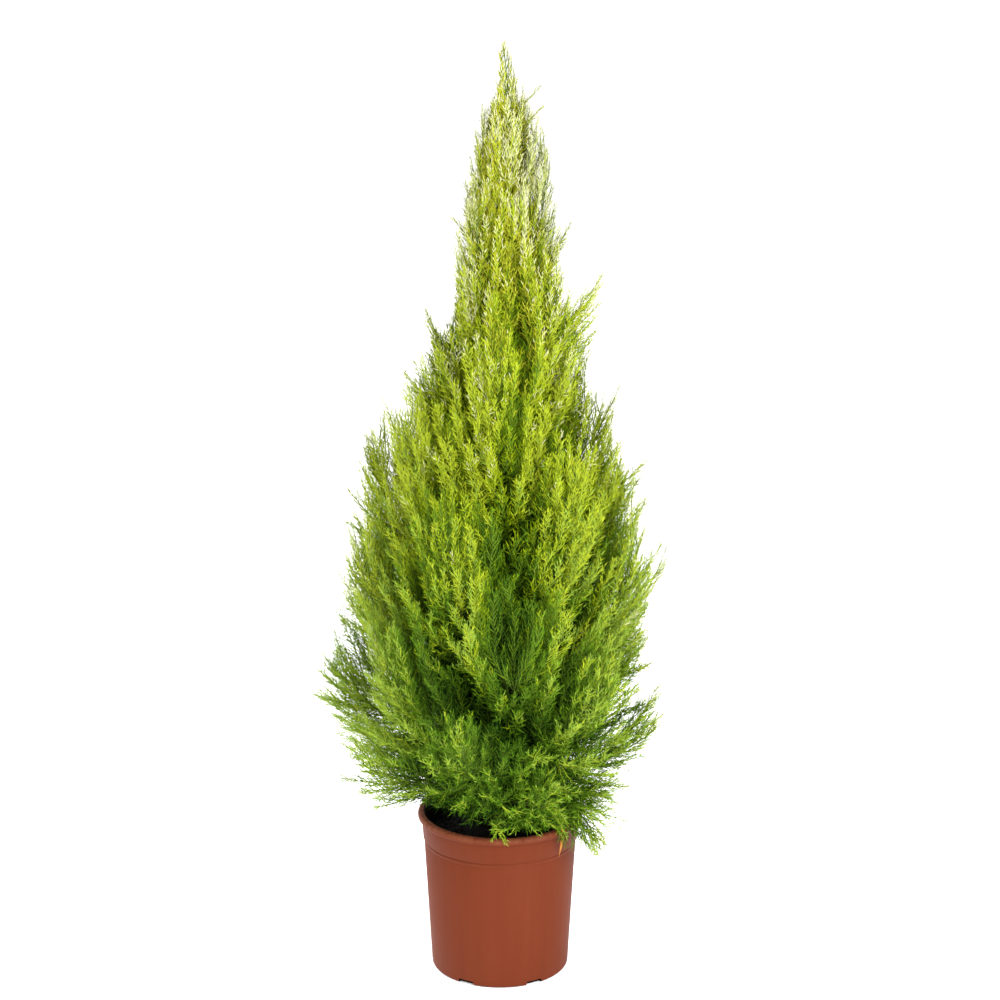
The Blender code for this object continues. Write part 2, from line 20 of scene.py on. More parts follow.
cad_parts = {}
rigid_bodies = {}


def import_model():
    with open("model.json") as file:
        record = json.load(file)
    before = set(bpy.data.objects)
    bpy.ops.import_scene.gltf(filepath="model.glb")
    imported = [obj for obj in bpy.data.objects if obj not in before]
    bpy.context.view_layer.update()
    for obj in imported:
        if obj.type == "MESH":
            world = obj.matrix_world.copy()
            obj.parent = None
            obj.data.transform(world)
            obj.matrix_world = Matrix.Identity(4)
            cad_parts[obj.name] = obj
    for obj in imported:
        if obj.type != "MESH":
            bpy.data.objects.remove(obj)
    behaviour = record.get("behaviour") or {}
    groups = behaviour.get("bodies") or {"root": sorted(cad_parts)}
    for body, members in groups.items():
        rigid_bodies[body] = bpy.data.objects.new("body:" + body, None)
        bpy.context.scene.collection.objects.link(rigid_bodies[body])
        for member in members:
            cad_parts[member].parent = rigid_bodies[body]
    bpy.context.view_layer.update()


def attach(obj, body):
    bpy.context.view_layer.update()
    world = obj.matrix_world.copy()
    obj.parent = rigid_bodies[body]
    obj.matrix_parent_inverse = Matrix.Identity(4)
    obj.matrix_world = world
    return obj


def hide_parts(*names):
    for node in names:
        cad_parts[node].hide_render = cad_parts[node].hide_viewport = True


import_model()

LOG = logging.getLogger("cypress")
BODY = "root"
UP = np.array((0.0, 0.0, 1.0))
LEVEL = np.array((1.0, 1.0, 0.0))
GOLDEN_TURN = math.radians(137.508)
CLEARANCE = 0.0003
TONE_STEPS = 5

Real = float | np.ndarray
Span = tuple[float, float]
Triple = tuple[float, float, float]
Colour = tuple[int, int, int]
# points, vertex numbers of all faces end to end, and number of corners of each face
Arrays = tuple[np.ndarray, np.ndarray, np.ndarray]
Chance = np.random.Generator


def blend(low: Real, high: Real, share: Real) -> Real:
    """A value, or an array of them, between two others."""
    return low + (high - low) * share


def linear(colour: Colour) -> tuple[float, float, float, float]:
    """Linear colour, with an alpha of 1, of an sRGB colour.

    Args:
        colour: Red, green and blue from 0 to 255.

    Returns:
        Linear red, green, blue and alpha.
    """
    shares = [value / 255 for value in colour]
    red, green, blue = (s / 12.92 if s <= 0.04045 else ((s + 0.055) / 1.055) ** 2.4 for s in shares)
    return red, green, blue, 1.0


def unit(vectors: np.ndarray) -> np.ndarray:
    """Vectors scaled to a length of 1."""
    return vectors / np.maximum(np.linalg.norm(vectors, axis=-1, keepdims=True), 1e-9)


def outwards(turn: Real, distance: Real, height: Real) -> np.ndarray:
    """Points at a distance from the axis in the direction of a turn from +X, at a height."""
    level = np.stack([np.cos(turn), np.sin(turn), np.zeros_like(turn)], axis=-1)
    return level * np.asarray(distance)[..., None] + np.asarray(height)[..., None] * UP


def both_sides(table: tuple, height: Real) -> tuple[Real, Real]:
    """Values on the left and on the right at a height, from a table's rows of height, left and right."""
    heights, left, right = zip(*table)
    return np.interp(height, heights, left), np.interp(height, heights, right)


def sideways(points: np.ndarray) -> np.ndarray:
    """How squarely each place lies to the left or right of the axis, from 0 to 1."""
    return (points[:, 0] / np.maximum(np.hypot(points[:, 0], points[:, 1]), 0.01)) ** 2


# Shaders


class Value:
    """A shader socket on which Python's operators add Math nodes."""

    def __init__(self, graph: "Graph", socket: bpy.types.NodeSocket) -> None:
        """Keeps the socket and the graph that it belongs to."""
        self.graph = graph
        self.socket = socket

    def _math(self, operation: str, first: "Value | float", second: "Value | float") -> "Value":
        """Result of a Math node on two values."""
        return self.graph.node("ShaderNodeMath", {"operation": operation}, {0: first, 1: second})

    def __add__(self, other: "Value | float") -> "Value":
        """Sum of the value and another."""
        return self._math("ADD", self, other)

    def __radd__(self, other: float) -> "Value":
        """Sum of a number and the value."""
        return self._math("ADD", other, self)

    def __rsub__(self, other: float) -> "Value":
        """A number less the value."""
        return self._math("SUBTRACT", other, self)

    def __mul__(self, other: "Value | float") -> "Value":
        """Product of the value and another."""
        return self._math("MULTIPLY", self, other)


@dataclass(frozen=True)
class Grain:
    """A noise: waves a metre on each axis, finer layers, their strength, and two marks to span it between."""

    waves: Triple
    detail: float
    roughness: float = 0.5
    ends: Span = (0.0, 1.0)


class Graph:
    """The nodes of one material, with the Principled shader at their end."""

    def __init__(self, name: str) -> None:
        """Makes the material under its name."""
        self.material = bpy.data.materials.new(name)
        self.material.use_nodes = True
        self.tree = self.material.node_tree
        self.inputs = self.tree.nodes["Principled BSDF"].inputs

    def _put(self, socket: bpy.types.NodeSocket, value: Value | float | tuple) -> None:
        """Links a Value to a socket, or sets the socket to a plain value."""
        if isinstance(value, Value):
            self.tree.links.new(value.socket, socket)
        else:
            socket.default_value = value

    def node(self, kind: str, settings: dict, inputs: dict, output: str | int = 0) -> Value:
        """A new node.

        Args:
            kind: The node's type.
            settings: Its own settings, which are set before its sockets.
            inputs: Values or links of its sockets, by name or number.
            output: The output that is wanted.

        Returns:
            The output as a Value.
        """
        made = self.tree.nodes.new(kind)
        for key, setting in settings.items():
            setattr(made, key, setting)
        for key, value in inputs.items():
            self._put(made.inputs[key], value)
        return Value(self, made.outputs[output])

    def where(self) -> Value:
        """Object coordinates."""
        return self.node("ShaderNodeTexCoord", {}, {}, "Object")

    def noise(self, grain: Grain) -> Value:
        """Noise from 0 to 1 on object coordinates.

        Args:
            grain: Its waves and layers.

        Returns:
            The noise.
        """
        place = self.node("ShaderNodeMapping", {}, {"Vector": self.where(), "Scale": grain.waves})
        inputs = {"Vector": place, "Scale": 1.0, "Detail": grain.detail, "Roughness": grain.roughness}
        return self.node("ShaderNodeTexNoise", {}, inputs, "Fac")

    def span(self, value: Value, ends: Span) -> Value:
        """How far a value lies from a low mark to a high one, held between 0 and 1."""
        inputs = {"Value": value, "From Min": ends[0], "From Max": ends[1]}
        return self.node("ShaderNodeMapRange", {"clamp": True}, inputs)

    def mix(self, share: Value, first: Value | Colour, second: Value | Colour) -> Value:
        """Mix of two colours, each a socket or an sRGB colour, by the share of the second."""
        low, high = (side if isinstance(side, Value) else linear(side) for side in (first, second))
        return self.node("ShaderNodeMix", {"data_type": "RGBA"}, {0: share, 6: low, 7: high}, 2)

    def bump(self, height: Value, strength: float, distance: float) -> None:
        """Feeds a bump of the given height to the shader."""
        inputs = {"Height": height, "Strength": strength, "Distance": distance}
        self._put(self.inputs["Normal"], self.node("ShaderNodeBump", {}, inputs, "Normal"))

    def finished(
        self, colour: Value | tuple, roughness: Value | float, specular: float
    ) -> bpy.types.Material:
        """Feeds the shader's other sockets.

        Args:
            colour: Base colour, a socket or a linear colour.
            roughness: Roughness.
            specular: Specular level.

        Returns:
            The material.
        """
        self._put(self.inputs["Base Color"], colour)
        self._put(self.inputs["Roughness"], roughness)
        self._put(self.inputs["Specular IOR Level"], specular)
        return self.material


@dataclass(frozen=True)
class TerracottaPlastic:
    """Dull moulded plastic with faint flow marks, scuffs and dust, a rim lighter in worn patches with a
    painted highlight, and painted shade in the mouth and under the foot.
    """

    colour: Colour = (98, 42, 20)
    shade: Colour = (94, 39, 18)
    scuff: Colour = (112, 58, 34)
    dust: Colour = (88, 54, 36)
    # painted shade on the inner wall above the compost and under the foot, seen through the notches
    painted_shade: Colour = (16, 10, 7)
    # the rim's top: partly wear, partly a painted highlight
    rim_highlight_and_wear: Colour = (118, 66, 44)
    flow: Grain = Grain((70.0, 70.0, 4.0), 4.0, 0.5, (0.35, 0.7))
    cloud: Grain = Grain((14.0, 14.0, 10.0), 3.0, 0.5, (0.45, 0.65))
    wear: Grain = Grain((160.0, 160.0, 26.0), 5.0, 0.7, (0.62, 0.78))
    specks: Grain = Grain((420.0, 420.0, 420.0), 2.0, 0.5, (0.66, 0.74))
    fine: Grain = Grain((900.0, 900.0, 700.0), 2.0)
    # patches, heights and radii of the rim's painted highlight and of the painted shade in the mouth and
    # under the foot
    rim_highlight_and_wear_patches: Span = (0.3, 0.6)
    rim_heights: Span = (0.1835, 0.1875)
    inside: Span = (0.0876, 0.0882)
    inner_shade_heights: Span = (0.160, 0.165)
    notch_shade_radii: Span = (0.0775, 0.0788)
    notch_shade_heights: Span = (0.0054, 0.0060)
    scuff_share: float = 0.35
    speck_share: float = 0.25
    roughness: Triple = (0.5, 0.16, 0.4)
    specular: float = 0.08
    relief_mix: Span = (0.3, 0.7)
    relief: Span = (0.18, 0.0006)

    def material(self) -> bpy.types.Material:
        """The finish as a material.

        Returns:
            The material.
        """
        graph = Graph("terracotta plastic")
        flow, cloud, wear = (graph.noise(grain) for grain in (self.flow, self.cloud, self.wear))
        scuffs = graph.span(wear, self.wear.ends) * graph.span(cloud, self.cloud.ends) * self.scuff_share
        height = graph.node("ShaderNodeSeparateXYZ", {}, {"Vector": graph.where()}, "Z")
        level = {0: graph.where(), 1: tuple(LEVEL)}
        flat = graph.node("ShaderNodeVectorMath", {"operation": "MULTIPLY"}, level)
        radius = graph.node("ShaderNodeVectorMath", {"operation": "LENGTH"}, {0: flat}, "Value")
        # Rim's top lighter in patches of wear: partly wear, partly a painted highlight.
        rim = graph.span(height, self.rim_heights) * graph.span(wear, self.rim_highlight_and_wear_patches)
        # Painted shade on the inner wall above the compost.
        inner_wall_shade = (1 - graph.span(radius, self.inside)) * graph.span(height, self.inner_shade_heights)
        # Painted shade under the pot and inside its foot, seen through the notches.
        notch_shade = (1 - graph.span(radius, self.notch_shade_radii)) * (1 - graph.span(height, self.notch_shade_heights))
        specks = graph.span(graph.noise(self.specks), self.specks.ends) * self.speck_share
        colour = graph.mix(graph.span(flow, self.flow.ends), self.shade, self.colour)
        for share, over in (
            (scuffs, self.scuff),
            (rim, self.rim_highlight_and_wear),
            (inner_wall_shade, self.painted_shade),
            (notch_shade, self.painted_shade),
            (specks, self.dust),
        ):
            colour = graph.mix(share, colour, over)
        graph.bump(graph.noise(self.fine) * self.relief_mix[0] + flow * self.relief_mix[1], *self.relief)
        plain, clouded, scuffed = self.roughness
        return graph.finished(colour, plain + cloud * clouded + scuffs * scuffed, self.specular)


@dataclass(frozen=True)
class Compost:
    """Dark moist compost."""

    dark: Colour = (4, 3, 3)
    light: Colour = (27, 19, 14)
    grain: Grain = Grain((520.0, 520.0, 520.0), 5.0, 0.65, (0.45, 0.75))
    damp: Grain = Grain((60.0, 60.0, 60.0), 2.0)
    roughness: Span = (0.72, 0.25)
    specular: float = 0.1
    relief: Span = (0.8, 0.0012)

    def material(self) -> bpy.types.Material:
        """The finish as a material.

        Returns:
            The material.
        """
        graph = Graph("dark compost")
        grain = graph.noise(self.grain)
        graph.bump(grain, *self.relief)
        colour = graph.mix(graph.span(grain, self.grain.ends), self.dark, self.light)
        rough = self.roughness[0] + graph.noise(self.damp) * self.roughness[1]
        return graph.finished(colour, rough, self.specular)


@dataclass(frozen=True)
class Bark:
    """Thin red-brown bark, ridged lengthways, with grey flakes."""

    furrow: Colour = (40, 26, 17)
    ridge: Colour = (92, 65, 44)
    flake: Colour = (106, 94, 78)
    ridges: Grain = Grain((420.0, 420.0, 45.0), 5.0, 0.6, (0.38, 0.62))
    patches: Grain = Grain((90.0, 90.0, 30.0), 3.0, 0.5, (0.58, 0.7))
    flake_share: float = 0.5
    roughness: Span = (0.78, 0.15)
    specular: float = 0.5
    relief: Span = (0.7, 0.0008)

    def material(self) -> bpy.types.Material:
        """The finish as a material.

        Returns:
            The material.
        """
        graph = Graph("ridged bark")
        ridges = graph.noise(self.ridges)
        graph.bump(ridges, *self.relief)
        wood = graph.mix(graph.span(ridges, self.ridges.ends), self.furrow, self.ridge)
        flakes = graph.span(graph.noise(self.patches), self.patches.ends) * self.flake_share
        rough = self.roughness[0] + ridges * self.roughness[1]
        return graph.finished(graph.mix(flakes, wood, self.flake), rough, self.specular)


@dataclass(frozen=True)
class PlainFinish:
    """One plain colour, for shoots and needles that are dealt their colours spray by spray."""

    name: str
    colour: Colour
    roughness: float = 0.6
    specular: float = 0.06

    def material(self) -> bpy.types.Material:
        """The finish as a material."""
        return Graph(self.name).finished(linear(self.colour), self.roughness, self.specular)


class Zone(Enum):
    """Heights of the crown, which differ in hue, with their deep, full and pale colours; these are lit and
    shaded copies, for painted shade deep in the crown and painted light outside.
    """

    LOW = ((26, 54, 6), (90, 126, 18), (130, 158, 54))
    MIDDLE = ((62, 90, 5), (132, 150, 11), (156, 170, 36))
    HIGH = ((132, 138, 24), (165, 167, 40), (188, 189, 140))

    def finish(self, step: int) -> PlainFinish:
        """Finish of one of the zone's tones.

        Args:
            step: Tone from 0, painted shade deep in the crown, to TONE_STEPS - 1, the palest tips and painted
                light.

        Returns:
            The finish.
        """
        deep, full, pale = self.value
        share = step / (TONE_STEPS - 2)
        low, high, part = (deep, full, share) if share <= 1 else (full, pale, 1.0)
        colour = tuple(round(blend(a, b, part)) for a, b in zip(low, high))
        return PlainFinish(f"needles {self.name.lower()} {step + 1}", colour)


# Meshes


def add_piece(name: str, mesh: bpy.types.Mesh, material: bpy.types.Material, slot: str, *nodes: str) -> None:
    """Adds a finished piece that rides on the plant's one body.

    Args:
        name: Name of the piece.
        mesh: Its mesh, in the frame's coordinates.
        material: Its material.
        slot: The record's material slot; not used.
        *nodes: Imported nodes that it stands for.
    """
    mesh.materials.clear()
    mesh.materials.append(material)
    piece = bpy.data.objects.new(name, mesh)
    bpy.context.scene.collection.objects.link(piece)
    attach(piece, BODY)
    if nodes:
        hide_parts(*nodes)
    LOG.info("%s: %d triangles", name, sum(len(face.vertices) - 2 for face in mesh.polygons))


def smoothed(mesh: bpy.types.Mesh, sharp_over: float) -> bpy.types.Mesh:
    """A mesh, smooth but for edges sharper than an angle in degrees."""
    mesh.shade_smooth()
    mesh.set_sharp_from_angle(angle=math.radians(sharp_over))
    return mesh


def mesh_of(bm: bmesh.types.BMesh, name: str) -> bpy.types.Mesh:
    """The mesh of a bmesh, which is freed."""
    mesh = bpy.data.meshes.new(name)
    bm.to_mesh(mesh)
    bm.free()
    return mesh


def mesh_from_arrays(name: str, points: np.ndarray, loops: np.ndarray, totals: np.ndarray) -> bpy.types.Mesh:
    """A mesh of many small things.

    Args:
        name: Name of the mesh.
        points: Vertices, one a row.
        loops: Vertex numbers of all faces, end to end.
        totals: Number of corners of each face.

    Returns:
        The mesh.
    """
    mesh = bpy.data.meshes.new(name)
    mesh.vertices.add(len(points))
    mesh.vertices.foreach_set("co", points.astype(np.float32).ravel())
    mesh.loops.add(len(loops))
    mesh.loops.foreach_set("vertex_index", loops.astype(np.int32))
    mesh.polygons.add(len(totals))
    starts = np.concatenate([[0], np.cumsum(totals)[:-1]])
    mesh.polygons.foreach_set("loop_start", starts.astype(np.int32))
    mesh.update(calc_edges=True)
    return mesh


def copies(points: np.ndarray, faces: list[tuple[int, ...]]) -> Arrays:
    """Many things that have the same faces.

    Args:
        points: Vertices, as things by vertices by 3.
        faces: Vertex numbers of each face of one thing.

    Returns:
        Their arrays.
    """
    corners = np.array([corner for face in faces for corner in face])
    loops = (corners[None] + points.shape[1] * np.arange(len(points))[:, None]).ravel()
    return points.reshape(-1, 3), loops, np.tile([len(face) for face in faces], len(points))


def joined(parts: list[Arrays]) -> Arrays:
    """Several sets of arrays as one.

    Args:
        parts: The sets.

    Returns:
        Their arrays.
    """
    shifts = np.cumsum([0] + [len(points) for points, _, _ in parts[:-1]])
    loops = np.concatenate([part[1] + shift for part, shift in zip(parts, shifts)])
    return np.concatenate([part[0] for part in parts]), loops, np.concatenate([part[2] for part in parts])


def across_of(directions: np.ndarray) -> tuple[np.ndarray, np.ndarray]:
    """Two directions square to each given direction and to each other."""
    hint = np.where(np.abs(directions[..., 2:]) < 0.9, UP, np.array((1.0, 0.0, 0.0)))
    first = unit(np.cross(directions, hint))
    return first, np.cross(directions, first)


def around(directions: np.ndarray, turns: np.ndarray) -> np.ndarray:
    """Direction square to each given direction, at a turn about it."""
    first, second = across_of(directions)
    return np.cos(turns)[:, None] * first + np.sin(turns)[:, None] * second


def spikes(roots: np.ndarray, tips: np.ndarray, radius: float, rolls: np.ndarray) -> Arrays:
    """Three-sided spikes, each open at its root.

    Args:
        roots: Middle of each base.
        tips: Point of each spike.
        radius: Radius of the bases.
        rolls: Turn of each base about its own axis.

    Returns:
        Their arrays.
    """
    first, second = across_of(unit(tips - roots))
    turns = rolls[:, None] + np.arange(3) * 2 * math.pi / 3
    ring = np.cos(turns)[..., None] * first[:, None] + np.sin(turns)[..., None] * second[:, None]
    points = np.concatenate([roots[:, None] + radius * ring, tips[:, None]], axis=1)
    return copies(points, [(0, 1, 3), (1, 2, 3), (2, 0, 3)])


def blades(roots: np.ndarray, tips: np.ndarray, radii: np.ndarray, facing: np.ndarray) -> Arrays:
    """Folded blades of two faces: scaly twiglets, widest a little above their roots.

    Args:
        roots: Root of each blade.
        tips: Point of each blade.
        radii: Half of each blade's width.
        facing: Direction that each blade's back is turned to.

    Returns:
        Their arrays.
    """
    widest, fold = 0.3, 0.45
    ahead = unit(tips - roots)
    side = unit(np.cross(ahead, facing))
    low = blend(roots, tips, widest) - radii[:, None] * fold * np.cross(side, ahead)
    side = radii[:, None] * side
    return copies(np.stack([roots, low + side, tips, low - side], axis=1), [(0, 1, 2), (0, 2, 3)])


def ribbons(lines: np.ndarray, width: float, facing: np.ndarray) -> Arrays:
    """Narrow shoots of three faces, each drawn to a point at its tip.

    Args:
        lines: Foot, middle and tip of each shoot, as shoots by points by 3.
        width: Half of a shoot's width at its foot.
        facing: Direction that each shoot's back is turned to.

    Returns:
        Their arrays.
    """
    taper = 0.8
    foot, middle, tip = lines[:, 0], lines[:, 1], lines[:, 2]
    side = width * unit(np.cross(tip - foot, facing))
    points = np.stack([foot + side, foot - side, middle + taper * side, middle - taper * side, tip], axis=1)
    return copies(points, [(0, 1, 3), (0, 3, 2), (2, 3, 4)])


def tube_faces(rings: int, sides: int) -> list[tuple[int, ...]]:
    """Faces along a tube of rings, and the one that closes its foot.

    Args:
        rings: Number of rings.
        sides: Corners of a ring.

    Returns:
        Vertex numbers of each face, for corners counted ring by ring.
    """
    starts = range(0, (rings - 1) * sides, sides)
    pairs = [(start + k, start + (k + 1) % sides) for start in starts for k in range(sides)]
    return [(a, b, b + sides, a + sides) for a, b in pairs] + [tuple(reversed(range(sides)))]


def whips(lines: np.ndarray, radii: np.ndarray, sides: int) -> Arrays:
    """Closed tapering tubes that end in a point.

    Args:
        lines: Points along each whip, as whips by points by 3.
        radii: Radius at each point; the last isn't used.
        sides: Sides of a tube.

    Returns:
        Their arrays.
    """
    rings = lines.shape[1] - 1
    ahead = unit(np.gradient(lines, axis=1))
    first = across_of(ahead[:, :1])[0]
    first = unit(first - (first * ahead).sum(axis=2, keepdims=True) * ahead)
    second = np.cross(ahead, first)
    turns = np.arange(sides) * 2 * math.pi / sides
    ring = np.cos(turns)[:, None] * first[:, :-1, None] + np.sin(turns)[:, None] * second[:, :-1, None]
    corners = lines[:, :-1, None] + radii[:, :-1, None, None] * ring
    points = np.concatenate([corners.reshape(len(lines), -1, 3), lines[:, -1:]], axis=1)
    last = (rings - 1) * sides
    ends = [(last + k, last + (k + 1) % sides, rings * sides) for k in range(sides)]
    return copies(points, tube_faces(rings, sides) + ends)


def turned(profile: list[Span], sides: int) -> bmesh.types.BMesh:
    """A profile spun round the pot's axis.

    Args:
        profile: Pairs of radius and height.
        sides: Steps of the full turn.

    Returns:
        The closed body.
    """
    bm = bmesh.new()
    knots = [bm.verts.new((radius, 0, height)) for radius, height in profile]
    edges = [bm.edges.new(pair) for pair in zip(knots, knots[1:])]
    around = {"cent": (0, 0, 0), "axis": (0, 0, 1), "angle": 2 * math.pi, "steps": sides, "use_merge": True}
    bmesh.ops.spin(bm, geom=knots + edges, **around)
    bmesh.ops.remove_doubles(bm, verts=bm.verts, dist=1e-6)
    bmesh.ops.recalc_face_normals(bm, faces=bm.faces)
    return bm


# Pot


@dataclass
class NurseryPot:
    """The moulded pot: rolled rim, collar, two fine grooves, tapering wall and notches in its foot."""

    rim_radius: float = 0.0955
    height: float = 0.190
    bead: float = 0.009
    bead_undercut: float = 0.0027
    edge_round: float = 0.0016
    rim_inner_radius: float = 0.0878
    collar_top_radius: float = 0.0908
    collar_foot_radius: float = 0.0893
    groove_height: float = 0.157
    groove_depth: float = 0.0014
    line_height: float = 0.1520
    line_depth: float = 0.0004
    line_half: float = 0.0008
    fine: float = 0.0002
    wall_top_radius: float = 0.0882
    foot_radius: float = 0.0796
    wall: float = 0.0018
    floor: float = 0.003
    foot_round: float = 0.0035
    inner_round: float = 0.004
    sides: int = 144
    notches: int = 6
    first_notch: float = -60
    notch_width: float = 0.020
    notch_height: float = 0.0055
    notch_depth: float = 0.012
    notch_round: float = 0.002
    sharp_over: float = 38

    def inner_radius(self, height: float) -> float:
        """Inside radius of the wall at a height."""
        share = (height - self.floor) / (self.height - self.floor)
        return blend(self.foot_radius - self.wall, self.rim_inner_radius, share)

    def wall_radius(self, height: float) -> float:
        """Outside radius of the wall at a height under the groove."""
        share = (height - self.foot_round) / (self.groove_height - self.groove_depth - self.foot_round)
        return blend(self.foot_radius, self.wall_top_radius, share)

    @staticmethod
    def arc(centre: Span, radius: float, start: float, end: float, steps: int) -> list[Span]:
        """Points on a circle in the profile's plane.

        Args:
            centre: Radius and height of the circle's middle.
            radius: Radius of the circle.
            start: First angle in degrees.
            end: Last angle in degrees.
            steps: Number of steps between them.

        Returns:
            The points as pairs of radius and height.
        """
        angles = [math.radians(blend(start, end, step / steps)) for step in range(steps + 1)]
        return [(centre[0] + radius * math.cos(a), centre[1] + radius * math.sin(a)) for a in angles]

    def profile(self) -> list[Span]:
        """Outline of the pot's wall from the middle of its inside to the middle of its underside.

        Returns:
            Pairs of radius and height.
        """
        half, edge, fine = self.bead / 2, self.edge_round, self.fine
        inside = self.inner_radius(self.floor) - self.inner_round
        collar_foot = self.groove_height + self.groove_depth
        in_groove = self.wall_top_radius - self.groove_depth / 2
        line_top, line_foot = self.line_height + self.line_half, self.line_height - self.line_half
        return [
            (0, self.floor),
            *self.arc((inside, self.floor + self.inner_round), self.inner_round, -90, 0, 4),
            (self.inner_radius(0.1), 0.1),
            *self.arc((self.inner_radius(self.height) + edge, self.height - edge), edge, 180, 90, 4),
            *self.arc((self.rim_radius - half, self.height - half), half, 90, -25, 9),
            (self.rim_radius - self.bead_undercut, self.height - self.bead + fine),
            (self.collar_top_radius, self.height - self.bead - 5 * fine),
            (self.collar_foot_radius, collar_foot),
            (self.collar_foot_radius - 1.5 * fine, collar_foot - 2 * fine),
            (in_groove, self.groove_height + fine),
            (in_groove, self.groove_height - 2 * fine),
            (self.wall_top_radius, self.groove_height - self.groove_depth),
            (self.wall_radius(line_top), line_top),
            (self.wall_radius(self.line_height) - self.line_depth, self.line_height),
            (self.wall_radius(line_foot), line_foot),
            *self.arc((self.foot_radius - self.foot_round, self.foot_round), self.foot_round, 0, -90, 6),
            (0, 0),
        ]

    def cutter(self, number: int) -> bpy.types.Object:
        """A slot through the foot of the wall; two of them lie at 30 degrees on each side of the front.

        Args:
            number: Number of the notch.

        Returns:
            The slot's body.
        """
        bm = bmesh.new()
        bmesh.ops.create_cube(bm, size=1.0)
        bmesh.ops.scale(bm, vec=(self.notch_width, self.notch_depth, 2 * self.notch_height), verts=bm.verts)
        long_edges = [e for e in bm.edges if abs((e.verts[0].co - e.verts[1].co).y) > self.notch_depth / 2]
        rounding = {"segments": 4, "profile": 0.5, "affect": "EDGES", "material": -1}
        bmesh.ops.bevel(bm, geom=long_edges, offset=self.notch_round, **rounding)
        turn = math.radians(self.first_notch + 360 * number / self.notches)
        place = Matrix.Translation(Vector(outwards(turn, self.foot_radius, 0)))
        bmesh.ops.transform(bm, matrix=place @ Matrix.Rotation(turn + math.pi / 2, 4, "Z"), verts=bm.verts)
        name = f"notch_{number + 1}"
        return bpy.data.objects.new(name, mesh_of(bm, name))

    def build(self) -> None:
        """Makes the pot with its notches cut."""
        held = bpy.data.collections.new("notches")
        for number in range(self.notches):
            held.objects.link(self.cutter(number))
        blank = bpy.data.objects.new("pot_blank", mesh_of(turned(self.profile(), self.sides), "pot_blank"))
        bpy.context.scene.collection.objects.link(blank)
        cut = blank.modifiers.new("Notches", "BOOLEAN")
        cut.operation = "DIFFERENCE"
        cut.operand_type = "COLLECTION"
        cut.collection = held
        graph = bpy.context.evaluated_depsgraph_get()
        mesh = bpy.data.meshes.new_from_object(blank.evaluated_get(graph), depsgraph=graph)
        for spare in [*held.objects, blank]:
            bpy.data.objects.remove(spare, do_unlink=True)
        bpy.data.collections.remove(held)
        mesh.name = "nursery_pot"
        finish = TerracottaPlastic().material()
        add_piece("nursery_pot", smoothed(mesh, self.sharp_over), finish, "pot_plastic", "pot")


# Compost


